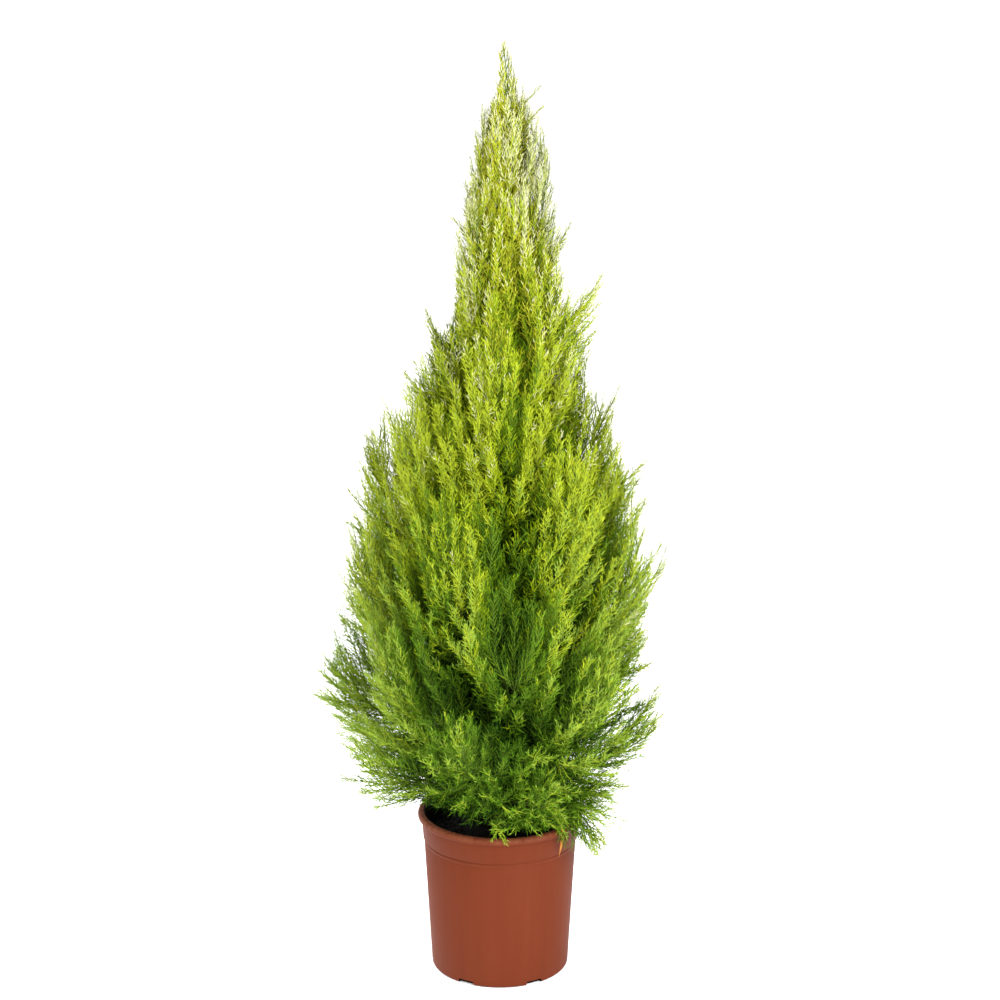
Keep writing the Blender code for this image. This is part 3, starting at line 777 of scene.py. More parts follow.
@dataclass
class CompostFill:
    """The compost in the pot: a lumpy surface with loose crumbs and a few fibres on it."""

    pot: NurseryPot
    top: float = 0.172
    settled: float = 0.0006
    edge_dip: float = 0.003
    flat_share: float = 0.3
    rings: int = 34
    sides: int = 110
    lump: float = 0.0016
    # waves a metre, layer and strength of each noise in the surface
    lumps: tuple[Triple, ...] = ((45, 0.3, 0.7), (190, 4.1, 0.5))
    edge_gap: float = 0.004
    crumbs: int = 900
    crumb_size: Span = (0.0009, 0.0030)
    crumb_power: float = 2.2
    crumb_rough: Span = (0.72, 1.28)
    crumb_spans: tuple[Span, Span, Span] = ((0.7, 1.2), (0.7, 1.2), (0.5, 0.9))
    fibres: int = 160
    fibre_length: Span = (0.004, 0.012)
    fibre_rise: float = 0.12
    fibre_radius: float = 0.0004
    seed: int = 5

    def level(self, x: float, y: float) -> float:
        """Height of the surface at a place.

        Args:
            x: Place along X.
            y: Place along Y.

        Returns:
            The height.
        """
        share = math.hypot(x, y) / self.pot.inner_radius(self.top)
        dip = self.edge_dip * max(share - self.flat_share, 0) / (1 - self.flat_share)
        places = [(Vector((x * wave, y * wave, layer)), part) for wave, layer, part in self.lumps]
        rise = self.lump * sum(part * noise.noise(place) for place, part in places)
        return self.top - dip + rise - self.settled

    def surface(self) -> bpy.types.Mesh:
        """The fill as one closed turned body with its top made lumpy.

        Returns:
            Its mesh.
        """
        edge = self.pot.inner_radius(self.top) - CLEARANCE
        foot = self.pot.floor + CLEARANCE
        corner = self.pot.inner_radius(foot) - self.pot.inner_round
        rims = [(edge * (ring / self.rings) ** 0.9, self.top) for ring in range(self.rings + 1)]
        bm = turned([*rims, (corner, foot + self.pot.inner_round), (0, foot)], self.sides)
        for vert in bm.verts:
            if vert.co.z > self.top - 1e-5:
                vert.co.z = self.level(vert.co.x, vert.co.y)
        return smoothed(mesh_of(bm, "compost"), 60)

    def scattered(self, chance: random.Random) -> np.ndarray:
        """A random place on the surface.

        Args:
            chance: Source of chance.

        Returns:
            The place.
        """
        radius = (self.pot.inner_radius(self.top) - self.edge_gap) * math.sqrt(chance.random())
        turn = chance.uniform(0, 2 * math.pi)
        x, y = radius * math.cos(turn), radius * math.sin(turn)
        return np.array(Vector((x, y, self.level(x, y))))

    def loose(self) -> bpy.types.Mesh:
        """Crumbs and fibres lying on the surface.

        Returns:
            Their mesh.
        """
        chance = random.Random(self.seed)
        lump = bmesh.new()
        bmesh.ops.create_icosphere(lump, subdivisions=1, radius=1.0)
        corners = np.array([tuple(vert.co) for vert in lump.verts])
        faces = [tuple(vert.index for vert in face.verts) for face in lump.faces]
        lump.free()
        points = []
        for _ in range(self.crumbs):
            size = blend(*self.crumb_size, chance.random() ** self.crumb_power)
            rough = np.array([chance.uniform(*self.crumb_rough) for _ in corners])[:, None]
            squash = np.array([chance.uniform(*span) for span in self.crumb_spans])
            points.append(self.scattered(chance) + size * corners * rough * squash)
        roots = np.array([self.scattered(chance) for _ in range(self.fibres)]) + self.settled * UP
        turns = np.array([chance.uniform(0, 2 * math.pi) for _ in range(self.fibres)])
        lengths = np.array([chance.uniform(*self.fibre_length) for _ in range(self.fibres)])
        tips = roots + outwards(turns, 1, self.fibre_rise) * lengths[:, None]
        fibres = spikes(roots, tips, self.fibre_radius, turns)
        return mesh_from_arrays("compost_crumbs", *joined([copies(np.array(points), faces), fibres]))

    def build(self) -> None:
        """Makes the fill and the crumbs on it."""
        finish = Compost().material()
        add_piece("compost", self.surface(), finish, "compost", "soil")
        add_piece("compost_crumbs", self.loose(), finish, "compost")


# Plan of the crown, as in the part's source


@dataclass
class Plume:
    """One bough with its foliage: an evenly spaced route from the trunk to the tip."""

    name: str
    route: np.ndarray
    bough_points: int
    foot_radius: float

    @property
    def node(self) -> str:
        """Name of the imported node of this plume's foliage."""
        return self.name if self.name == "leader" else f"plume_{self.name}"


@dataclass
class Trunk:
    """The one trunk: flared at the compost, tapering, and leaning gently to the right."""

    foot: float = 0.172
    top: float = 0.875
    lean: float = 0.011
    radius: float = 0.0088
    tip_radius: float = 0.0016
    flare_radius: float = 0.0135
    flare_height: float = 0.030

    def centres(self, heights: np.ndarray) -> np.ndarray:
        """Middle of the trunk at each height."""
        share = np.clip((heights - self.foot) / (self.top - self.foot), 0, 1)
        ease = share * share * (3 - 2 * share)
        return np.stack([self.lean * ease, np.zeros_like(ease), heights], axis=-1)

    def radii(self, heights: np.ndarray) -> np.ndarray:
        """Radius of the trunk at each height."""
        share = (heights - self.foot) / (self.top - self.foot)
        flare = np.maximum(1 - (heights - self.foot) / self.flare_height, 0)
        widening = (self.flare_radius - self.radius) * flare * flare
        return blend(self.radius, self.tip_radius, share) + widening


@dataclass
class Crown:
    """Where each plume runs: a spiral up the trunk, inside the outline of the crown."""

    # height, and reach on the left and on the right
    OUTLINE = (
        (0.150, 0.100, 0.122), (0.190, 0.142, 0.140), (0.240, 0.180, 0.153), (0.310, 0.206, 0.192),
        (0.350, 0.222, 0.174), (0.430, 0.186, 0.170), (0.490, 0.180, 0.197), (0.580, 0.173, 0.164),
        (0.650, 0.148, 0.132), (0.700, 0.114, 0.120), (0.800, 0.070, 0.110), (0.850, 0.057, 0.080),
        (0.930, 0.040, 0.058), (1.000, 0.022, 0.048), (1.040, 0.010, 0.028), (1.075, 0.004, 0.010),
    )

    trunk: Trunk
    seed: int = 12
    top: float = 1.075
    leader_tip: float = 0.003
    leader_bulge: float = 0.014
    leader_bend: float = 0.6
    plumes: int = 36
    boughs: int = 18
    first_turn: float = math.radians(20)
    lowest_tip: float = 0.222
    highest_tip: float = 1.035
    lowest_foot: float = 0.197
    foot_span: float = 0.640
    foot_stagger: float = 0.003
    turn_spread: float = 0.12
    reach_shares: Span = (0.93, 0.99)
    girth_power: float = 0.65
    foot_power: float = 1.7
    swing: float = 0.84
    lift: float = 0.34
    arch: float = 0.022
    route_points: int = 19
    droop_turn: float = math.radians(-27)
    droop_reach: float = 0.128
    droop_swing: float = 0.62
    droop_tip: float = 0.170
    droop_arch: float = 0.252
    bough_share: float = 0.24
    bough_radius: float = 0.0034
    bough_tip_share: float = 0.6
    stem_radius: float = 0.0020

    def reach(self, height: Real, turn: Real) -> Real:
        """Reach of the crown from the pot's axis at a height, in the direction of a turn from +X."""
        return blend(*both_sides(self.OUTLINE, height), (1 + np.cos(turn)) / 2)

    def tip_height(self, share: float) -> float:
        """Height below which a share of the plumes has its tip."""
        heights = np.linspace(self.lowest_tip, self.highest_tip, 60)
        covered = np.cumsum(self.reach(heights, math.pi / 2) ** self.girth_power)
        return float(np.interp(share, covered / covered[-1], heights))

    def even_route(self, foot: np.ndarray, bend: np.ndarray, tip: np.ndarray) -> np.ndarray:
        """Evenly spaced points along the curve from foot to tip that leaves towards bend.

        Args:
            foot: Its foot.
            bend: Point that it first makes for.
            tip: Its end.

        Returns:
            The points.
        """
        fine = curve_point(foot, bend, tip, np.linspace(0, 1, 80)[:, None])
        steps = np.linalg.norm(np.diff(fine, axis=0), axis=1)
        lengths = np.concatenate([[0], np.cumsum(steps)])
        marks = np.linspace(0, lengths[-1], self.route_points)
        return np.stack([np.interp(marks, lengths, fine[:, axis]) for axis in range(3)], axis=1)

    def plume_route(
        self, foot_height: float, turn: float, bend: np.ndarray, tip: np.ndarray, radius: float
    ) -> np.ndarray:
        """Route from just off the trunk's bark to the tip.

        Args:
            foot_height: Height at which it leaves the trunk.
            turn: Direction from +X.
            bend: Point that it first makes for.
            tip: Its end.
            radius: Radius of its foot.

        Returns:
            Points along the route.
        """
        height = np.array(foot_height)
        centre, girth = self.trunk.centres(height), float(self.trunk.radii(height))
        slope = unit(bend - centre - outwards(turn, girth, 0))[2]
        off_bark = girth + CLEARANCE + radius * abs(slope)
        return self.even_route(centre + outwards(turn, off_bark, 0), bend, tip)

    def plan(self) -> list[Plume]:
        """Every plume in order of height, and the leader last.

        Returns:
            The plumes.
        """
        chance = random.Random(self.seed)
        made = []
        for number in range(self.plumes):
            tip_z = self.tip_height((number + 0.5) / self.plumes)
            climb = (tip_z - self.lowest_tip) / (self.highest_tip - self.lowest_tip)
            foot_z = self.lowest_foot + self.foot_span * max(climb, 0) ** self.foot_power
            foot_z += self.foot_stagger * (number % 3)
            turn = self.first_turn + GOLDEN_TURN * number
            turn += chance.uniform(-self.turn_spread, self.turn_spread)
            far = float(self.reach(tip_z, turn)) * chance.uniform(*self.reach_shares)
            bend_z = foot_z + self.lift * (tip_z - foot_z) + self.arch * (1 - climb) ** 2
            bough_points, radius = 0, self.stem_radius * (1.1 - 0.4 * climb)
            if number < self.boughs:
                bough_points = round(self.bough_share * self.route_points)
                radius = blend(self.bough_radius, self.stem_radius, climb)
            bend = outwards(turn, self.swing * far, bend_z)
            route = self.plume_route(foot_z, turn, bend, outwards(turn, far, tip_z), radius)
            made.append(Plume(f"{number + 1:02d}", route, bough_points, radius))
        made[0].route = self.drooping(made[0].foot_radius)
        return [*made, self.leader()]

    def drooping(self, radius: float) -> np.ndarray:
        """Route of the lowest plume, at the front right and over the rim, by its foot's radius."""
        bend = outwards(self.droop_turn, self.droop_swing * self.droop_reach, self.droop_arch)
        tip = outwards(self.droop_turn, self.droop_reach, self.droop_tip)
        return self.plume_route(self.lowest_foot, self.droop_turn, bend, tip, radius)

    def leader(self) -> Plume:
        """The leader goes on from the trunk's tip, and its own tip bends back to the left."""
        start = self.trunk.centres(np.array(self.trunk.top)) + CLEARANCE * UP
        bend = np.array((self.leader_bulge, 0, blend(self.trunk.top, self.top, self.leader_bend)))
        route = self.even_route(start, bend, np.array((self.leader_tip, 0, self.top)))
        return Plume("leader", route, 0, self.trunk.tip_radius)


def curve_point(foot: np.ndarray, bend: np.ndarray, tip: np.ndarray, share: np.ndarray) -> np.ndarray:
    """Points at shares of the way along curves from foot to tip."""
    return (1 - share) ** 2 * foot + 2 * share * (1 - share) * bend + share**2 * tip


def along_line(points: np.ndarray, shares: np.ndarray) -> np.ndarray:
    """Points at shares of the way along a line of evenly spaced points."""
    marks = np.linspace(0, 1, len(points))
    return np.stack([np.interp(shares, marks, points[:, axis]) for axis in range(3)], axis=1)


class Space:
    """Tells which shoots lie in the space of one plume."""

    # height, and shares of the crown's reach that are filled on the left and on the right
    FRINGE = (
        (0.150, 1.00, 1.06), (0.188, 0.98, 1.10), (0.207, 0.92, 0.98), (0.226, 1.06, 1.02),
        (0.244, 1.03, 0.92), (0.263, 0.93, 0.92), (0.280, 0.93, 0.95), (0.310, 1.00, 1.00),
        (0.345, 0.99, 1.00), (0.380, 0.92, 1.06), (0.430, 1.04, 0.96), (0.490, 1.03, 0.98),
        (0.530, 1.00, 0.92), (0.560, 0.98, 0.98), (0.640, 1.02, 1.02), (0.695, 1.02, 0.88),
        (0.708, 1.00, 0.80), (0.722, 0.96, 0.86), (0.735, 0.92, 0.95), (0.752, 0.82, 0.94),
        (0.765, 0.66, 0.86), (0.776, 0.64, 0.76), (0.790, 0.66, 0.75), (0.815, 0.74, 0.78),
        (0.860, 1.04, 0.92), (0.905, 1.00, 0.92), (0.960, 1.04, 1.04), (0.990, 0.94, 1.08),
        (1.040, 0.40, 0.70), (1.075, 0.40, 0.70),
    )
    FRINGE_TOP = (0.97, 1.01)

    # turn from +X in degrees, height, half width in degrees, half height and depth of the hollow at the front
    HOLLOW = (-84, 0.46, 9, 0.12, 0.22)

    TOP_GAP = 0.002
    BARK_GAP = 0.0008
    RIM_GAP = 0.003
    RIM_RISE = 0.014
    # places along X, and how far the lowest foliage is lifted there
    LEFT_LIFT = ((-0.06, 0.0), (0.014, 0.0))
    # distances from the axis, and how high over the compost the lowest foliage lies there
    SOIL_GAPS = ((0.026, 0.048), (0.003, 0.032))
    OVERLAPS = (0.55, 1.5)

    def __init__(self, plumes: list[Plume], crown: Crown, pot: NurseryPot) -> None:
        """Keeps every route as segments.

        Args:
            plumes: All the plumes.
            crown: The crown that they make up.
            pot: The pot that they stay clear of.
        """
        self.crown = crown
        self.pot = pot
        self.starts = np.concatenate([plume.route[:-1] for plume in plumes])
        self.along = np.concatenate([np.diff(plume.route, axis=0) for plume in plumes])
        self.count = len(plumes)

    def distances(self, points: np.ndarray) -> np.ndarray:
        """Distance from each point to each route.

        Args:
            points: The points.

        Returns:
            The distances, as points by routes.
        """
        offset = points[:, None, :] - self.starts[None]
        share = np.clip((offset * self.along).sum(axis=2) / (self.along**2).sum(axis=1), 0, 1)
        gaps = np.linalg.norm(offset - share[..., None] * self.along, axis=2)
        return gaps.reshape(len(points), self.count, -1).min(axis=2)

    def fringe(self, points: np.ndarray) -> np.ndarray:
        """Reach of the crown at each point, with the dips and bulges on both sides and the hollow.

        Args:
            points: The points.

        Returns:
            The reaches.
        """
        x, y, z = points.T
        turn = np.arctan2(y, x)
        left, right = both_sides(self.FRINGE, z)
        weight = np.maximum(np.cos(turn) ** 2, np.interp(z, self.FRINGE_TOP, (0, 1)))
        at, middle, wide, high, depth = self.HOLLOW
        hollow = depth * np.exp(-(((np.degrees(turn) - at) / wide) ** 2) - ((z - middle) / high) ** 2)
        return self.crown.reach(z, turn) * blend(1, np.where(x < 0, left, right), weight) * (1 - hollow)

    def holds(self, index: int | None, lines: np.ndarray, overlap: float, stretch: float) -> np.ndarray:
        """Whether each line lies in one plume's space.

        Args:
            index: Number of the plume, or nothing for a shoot from the trunk, which only stays in the crown.
            lines: Points along each line, as lines by points by 3.
            overlap: How far a line may run into its neighbours' spaces.
            stretch: Share of the crown's reach that a line may fill.

        Returns:
            One answer for each line.
        """
        pot, trunk = self.pot, self.crown.trunk
        points = lines.reshape(-1, 3)
        x, y, z = points.T
        from_axis = np.hypot(x, y)
        inside = (from_axis < stretch * self.fringe(points)) & (z < self.crown.top + self.TOP_GAP)
        lift = np.interp(x, *self.LEFT_LIFT)
        over_rim = z > pot.height + lift + np.where(from_axis > pot.rim_radius, self.RIM_RISE, self.RIM_GAP)
        above_soil = z - trunk.foot > lift + np.interp(from_axis, *self.SOIL_GAPS)
        in_mouth = (from_axis < pot.rim_inner_radius - self.RIM_GAP) & above_soil
        beyond = (from_axis > pot.rim_radius + self.RIM_GAP) & (index == 0)
        apart = np.full(len(points), True)
        if index is not None:
            gaps = self.distances(points)
            own = gaps[:, index].copy()
            gaps[:, index] = np.inf
            apart = gaps.min(axis=1) - own > -2 * overlap * blend(*self.OVERLAPS, sideways(points))
        off = np.hypot(*(points - trunk.centres(z))[:, :2].T) - trunk.radii(np.clip(z, trunk.foot, trunk.top))
        clear = (off > self.BARK_GAP) | (z > trunk.top)
        fits = inside & (over_rim | in_mouth | beyond) & apart & clear
        return fits.reshape(lines.shape[:2]).all(axis=1)


# Limbs


@dataclass
class Limbs:
    """Trunk and boughs with the bark's ridges in their mesh."""

    crown: Crown
    plumes: list[Plume]
    trunk_rings: int = 120
    trunk_sides: int = 28
    trunk_sunk: float = 0.003
    ring_power: float = 1.15
    bough_rings: int = 16
    bough_sides: int = 12
    ridge: float = 0.11
    full_ridge_radius: float = 0.004
    # waves round a limb, waves a metre along it and strength of each noise in the bark
    ridges: tuple[Triple, ...] = ((3.2, 32, 1.0), (7.0, 90, 0.5))

    def relief(self, height: float, turn: float, radius: float) -> float:
        """Share by which a corner of a ring stands out or in.

        Args:
            height: Height of the ring's middle.
            turn: Turn of the corner about it.
            radius: Radius of the ring.

        Returns:
            The share.
        """
        depth = self.ridge * min(radius / self.full_ridge_radius, 1.0)
        runs = [(Vector(outwards(turn, around, height * along)), part) for around, along, part in self.ridges]
        return 1 + depth * sum(part * noise.noise(run) for run, part in runs) - depth / 3

    def limb(self, points: np.ndarray, radii: np.ndarray, sides: int) -> Arrays:
        """One limb with flat ends.

        Args:
            points: Middles of its rings.
            radii: Radius of each ring.
            sides: Corners of a ring.

        Returns:
            Their arrays.
        """
        ahead = unit(np.gradient(points, axis=0))
        side = across_of(ahead[:1])[0][0]
        corners = []
        for along, point, radius in zip(ahead, points, radii):
            side = unit(side - (side @ along) * along)
            other = np.cross(along, side)
            for turn in (2 * math.pi * corner / sides for corner in range(sides)):
                out = math.cos(turn) * side + math.sin(turn) * other
                corners.append(point + out * radius * self.relief(point[2], turn, radius))
        end = tuple(range(len(corners) - sides, len(corners)))
        return copies(np.array(corners)[None], [*tube_faces(len(points), sides), end])

    def build(self) -> None:
        """Makes the trunk, and the boughs as a second piece."""
        bark, trunk = Bark().material(), self.crown.trunk
        shares = np.linspace(0, 1, self.trunk_rings)
        heights = blend(trunk.foot - self.trunk_sunk, trunk.top, shares**self.ring_power)
        radii = trunk.radii(np.maximum(heights, trunk.foot))
        stem = self.limb(trunk.centres(heights), radii, self.trunk_sides)
        add_piece("trunk_bark", smoothed(mesh_from_arrays("trunk_bark", *stem), 60), bark, "bark", "trunk")
        limbed = [plume for plume in self.plumes if plume.bough_points]
        share = np.linspace(0, 1, self.bough_rings)
        boughs = [
            self.limb(
                along_line(plume.route[: plume.bough_points], share),
                plume.foot_radius * blend(1, self.crown.bough_tip_share, share),
                self.bough_sides,
            )
            for plume in limbed
        ]
        mesh = smoothed(mesh_from_arrays("boughs_bark", *joined(boughs)), 60)
        add_piece("boughs_bark", mesh, bark, "bark", *[f"bough_{plume.name}" for plume in limbed])


# Foliage


@dataclass
class Curves:
    """Many shoots as curves from foot over bend to tip."""

    foot: np.ndarray
    bend: np.ndarray
    tip: np.ndarray

    @classmethod
    def grown(
        cls,
        foot: np.ndarray,
        leaving: np.ndarray,
        ending: np.ndarray,
        reach: np.ndarray,
        bend_at: float = 0.5,
    ) -> "Curves":
        """Curves that leave their feet in one direction and end in another.

        Args:
            foot: Foot of each curve.
            leaving: Direction in which each one leaves.
            ending: Direction of each one's tip from its foot.
            reach: Distance of each tip, in a column.
            bend_at: Share of that distance at which they bend.

        Returns:
            The curves.
        """
        return cls(foot, foot + leaving * reach * bend_at, foot + unit(ending) * reach)

    def sizes(self) -> np.ndarray:
        """Length of each curve, near enough."""
        chord = np.linalg.norm(self.tip - self.foot, axis=1)
        legs = np.linalg.norm(self.bend - self.foot, axis=1) + np.linalg.norm(self.tip - self.bend, axis=1)
        return (chord + legs) / 2

    def lines(self, count: int) -> np.ndarray:
        """Points along each curve, as curves by points by 3."""
        share = np.linspace(0, 1, count)[None, :, None]
        return curve_point(self.foot[:, None], self.bend[:, None], self.tip[:, None], share)

    def shrunk(self, shares: Real) -> "Curves":
        """The curves drawn in towards their feet."""
        shares = np.asarray(shares)[..., None]
        return Curves(self.foot, *(self.foot + (end - self.foot) * shares for end in (self.bend, self.tip)))

    def picked(self, choice: np.ndarray) -> "Curves":
        """Only the chosen curves, or the curves in the order of the given numbers."""
        return Curves(self.foot[choice], self.bend[choice], self.tip[choice])

    def spread(self, counts: np.ndarray, start: float, run: float, edge: float, rng: Chance) -> tuple:
        """Places of the shoots or twiglets that the curves bear.

        Args:
            counts: Number of places on each curve.
            start: Share of a curve at which they start.
            run: Share of it over which they are spread.
            edge: Share of its own step that each place keeps from the step's ends.
            rng: Source of chance.

        Returns:
            Number of the curve, step, share of the way along, point and direction ahead of each place.
        """
        owner = np.repeat(np.arange(len(counts)), counts)
        step = np.concatenate([np.arange(count) for count in counts])
        share = start + run * (step + rng.uniform(edge, 1 - edge, len(step))) / counts[owner]
        bearer, part = self.picked(owner), share[:, None]
        foot = curve_point(bearer.foot, bearer.bend, bearer.tip, part)
        ahead = unit((1 - part) * (bearer.bend - bearer.foot) + part * (bearer.tip - bearer.bend))
        return owner, step, share, foot, ahead


@dataclass
class Foliage:
    """Twigs, side shoots and twiglets of every plume, grown from its stem by a seeded rule."""

    # height, reach to the right (to the left if negative) and length of each sprig
    TIPS = (
        (1.026, 0.044, 0.06), (1.006, 0.047, 0.06), (0.985, 0.046, 0.06), (1.010, -0.019, 0.05),
        (0.982, -0.027, 0.06), (0.882, 0.080, 0.07), (0.868, 0.073, 0.05), (0.858, 0.072, 0.05),
        (0.884, -0.052, 0.06), (0.821, 0.116, 0.06), (0.808, 0.112, 0.05), (0.800, 0.108, 0.05),
        (0.790, 0.111, 0.05), (0.786, 0.103, 0.045), (0.776, 0.108, 0.045), (0.768, 0.098, 0.045),
        (0.758, 0.107, 0.045), (0.745, 0.103, 0.045), (0.790, -0.085, 0.06), (0.779, -0.083, 0.05),
        (0.773, -0.078, 0.05), (0.766, -0.082, 0.045), (0.760, -0.072, 0.045), (0.752, -0.077, 0.045),
        (0.748, -0.066, 0.045), (0.712, -0.106, 0.09), (0.680, -0.130, 0.09), (0.640, -0.150, 0.09),
        (0.698, 0.134, 0.06), (0.685, 0.127, 0.05), (0.678, 0.130, 0.05), (0.686, 0.116, 0.05),
        (0.628, 0.134, 0.09), (0.606, 0.165, 0.10), (0.588, 0.160, 0.09), (0.572, -0.174, 0.10),
        (0.562, 0.166, 0.09), (0.540, -0.175, 0.09), (0.506, 0.192, 0.10), (0.516, 0.184, 0.08),
        (0.452, -0.174, 0.09), (0.427, -0.186, 0.09), (0.440, -0.180, 0.08), (0.410, -0.190, 0.08),
        (0.393, -0.192, 0.09), (0.375, -0.206, 0.08), (0.340, -0.211, 0.08), (0.325, -0.204, 0.07),
        (0.318, 0.176, 0.08), (0.300, 0.178, 0.08), (0.282, 0.176, 0.08), (0.264, 0.166, 0.08),
        (0.385, 0.160, 0.09), (0.366, 0.173, 0.09), (0.372, 0.168, 0.09), (0.353, 0.183, 0.09),
        (0.340, 0.182, 0.09), (0.352, -0.212, 0.09), (0.318, -0.199, 0.09), (0.260, 0.152, 0.09),
        (0.235, -0.180, 0.10), (0.222, 0.146, 0.09), (0.205, -0.146, 0.09),
    )
    # heights, and how steeply the sprigs rise there
    SPRIG_RISE = ((0.20, 0.35, 0.90), (-0.15, 0.9, 2.4))

    # turn from +X in degrees, reach, height and place on the stem of each twig that hangs over the rim
    HANGING = (
        (4, 0.128, 0.214, 0.44), (-2, 0.136, 0.207, 0.56), (-5, 0.128, 0.206, 0.50),
        (-7, 0.137, 0.203, 0.62), (-10, 0.130, 0.199, 0.68), (-13, 0.120, 0.202, 0.48),
        (-15, 0.122, 0.196, 0.64), (-18, 0.114, 0.199, 0.50), (-20, 0.109, 0.188, 0.64),
        (-23, 0.108, 0.192, 0.56), (-26, 0.105, 0.182, 0.64), (-30, 0.103, 0.193, 0.50),
        (-32, 0.104, 0.180, 0.60), (-28, 0.110, 0.182, 0.62), (-34, 0.109, 0.174, 0.62),
        (-36, 0.104, 0.186, 0.54), (-39, 0.108, 0.170, 0.56), (-40, 0.100, 0.193, 0.46),
        (-44, 0.104, 0.186, 0.46), (-45, 0.104, 0.176, 0.50), (-48, 0.103, 0.182, 0.46),
        (-47, 0.098, 0.194, 0.38), (-50, 0.100, 0.197, 0.40), (-57, 0.096, 0.203, 0.34),
    )

    # places along the dry twig, and its radii at foot and tip
    DRY = (
        (0.050, -0.044, 0.205), (0.064, -0.058, 0.203), (0.0715, -0.0675, 0.191), (0.0698, -0.0685, 0.173),
        (0.0668, -0.0688, 0.157),
    )
    DRY_RADII = (0.0019, 0.0013)

    # turn from +X in degrees, height, half width in degrees, half height and lightness of a stream of painted
    # light or a gap of painted shade
    STREAMS = (
        (-84, 0.44, 13, 0.15, -2.8), (-123, 0.37, 10, 0.03, -1.3), (-103, 0.56, 7, 0.13, 0.8),
        (-64, 0.58, 11, 0.12, 0.8), (-141, 0.35, 10, 0.03, 1.0), (-53, 0.32, 10, 0.04, 0.9),
        (-170, 0.36, 44, 0.09, 2.1), (-172, 0.60, 30, 0.09, 1.2), (-138, 0.735, 30, 0.07, 1.6),
        (-25, 0.66, 20, 0.06, 1.2), (-90, 0.215, 70, 0.045, -1.0), (-67, 0.740, 7, 0.030, -2.0),
        (-79, 0.680, 7, 0.040, -2.6),
    )
    # waves round the crown, waves a metre up it and lightness of the streams of painted light and shade all
    # over
    STREAM_WAVES = (3.0, 3.2, 1.5)
    # depths in the crown, and how much lighter its sides are there, painted light where the key lamp leaves
    # them in shade
    SIDE_LIGHT = ((0.55, 1.0), (0, 2.2))
    # depths in the crown, and how much coarser its twiglets are there
    COARSENESS = ((0.35, 0.75), (2.0, 1.0))

    crown: Crown
    plumes: list[Plume]
    space: Space
    twig_spacing: float = 0.0041
    branch_length: float = 0.165
    full_stem: float = 0.20
    stem_sizes: Span = (0.75, 1.05)
    stem_ends: Span = (0.02, 0.975)
    stem_ahead: float = 0.8
    stem_lift: float = 0.33
    stem_taper: Span = (1.15, 0.34)
    stem_chance: Span = (0.6, 1.25)
    leader_size: float = 0.8
    bough_twig_spacing: float = 0.0055
    bough_twig_length: float = 0.085
    bough_ends: Span = (0.25, 1.0)
    bough_leaving: Triple = (0.55, 0.75, 0.10)
    bough_ending: Span = (0.5, 0.25)
    bough_chance: Span = (0.75, 1.15)
    trunk_twigs: int = 320
    trunk_twig_length: float = 0.105
    trunk_chance: Span = (0.8, 1.25)
    # how steeply twigs of the trunk leave it and end, above and within the skirt
    trunk_rises: tuple[Span, Span] = ((0.95, 0.35), (1.4, -0.35))
    trunk_ends: Span = (0.012, -0.020)
    trunk_power: float = 1.8
    trunk_bend: float = 0.55
    skirt_top: float = 0.240
    skirt_growth: float = 0.25
    rise_heights: Span = (0.20, 0.31)
    stem_rise: Span = (-0.45, 0.45)
    shoot_rise: Span = (-0.20, 0.30)
    stem_spread: Span = (0.55, 1.25)
    shoot_spacing: float = 0.0034
    shoot_start: float = 0.08
    shoot_run: float = 0.88
    shoot_roll: float = 0.9
    shoot_angle: float = math.radians(38)
    shoot_share: float = 0.31
    shoot_limits: Span = (0.007, 0.031)
    shoot_tapers: Span = (0.60, 0.75)
    wild_heights: Span = (0.29, 0.42)
    wildness: float = 0.42
    pale_step: int = 3
    pale_edge: float = 0.65
    pale_sides: Span = (0.5, 1.0)
    pale_depths: Span = (0.88, 1.0)
    twiglet_spacing: float = 0.0026
    twiglet_length: float = 0.0088
    twiglet_radius: float = 0.00048
    twiglet_angle: float = math.radians(37)
    twiglet_margin: float = 0.003
    pale_tip: float = 0.72
    fine_heights: Span = (0.80, 1.02)
    fine_size: float = 0.62
    fine_angle: float = 0.65
    top_light: float = 1.5
    crest_depth: float = 0.028
    crest_light: float = 1.1
    depth_light: float = 4.0
    shade: float = 1.5
    along_light: float = 0.6
    climb_light: float = 0.6
    zone_blur: float = 0.30
    tone_blur: float = 0.2
    plume_cast: float = 0.42
    twig_cast: float = 0.36
    facing_lift: float = 0.45
    facing_spread: float = 0.28
    axis_radius: float = 0.00055
    twig_radii: Span = (0.0007, 0.0004)
    # share of a twig that bears no twiglets, and share at which its own are taken to stand
    twig_ends: Span = (0.22, 0.8)
    end_marks: Span = (0.78, 0.89)
    stem_tip_radius: float = 0.0005
    overlap: float = 0.030
    inner_stretch: float = 0.95
    shrinks: tuple[float, ...] = (1.0, 0.82, 0.66, 0.5, 0.36)
    sprig_stretch: float = 1.6
    sprig_turn: float = 0.13
    sprig_sag: float = 0.06
    sprig_depth: float = 0.8
    upright_heights: Span = (0.55, 0.70)
    rim_stretch: float = 1.12
    rim_bend: float = 0.6
    rim_arch: float = 0.004
    needles: dict = field(default_factory=dict)
    axes: dict = field(default_factory=dict)
    wood: list = field(default_factory=list)

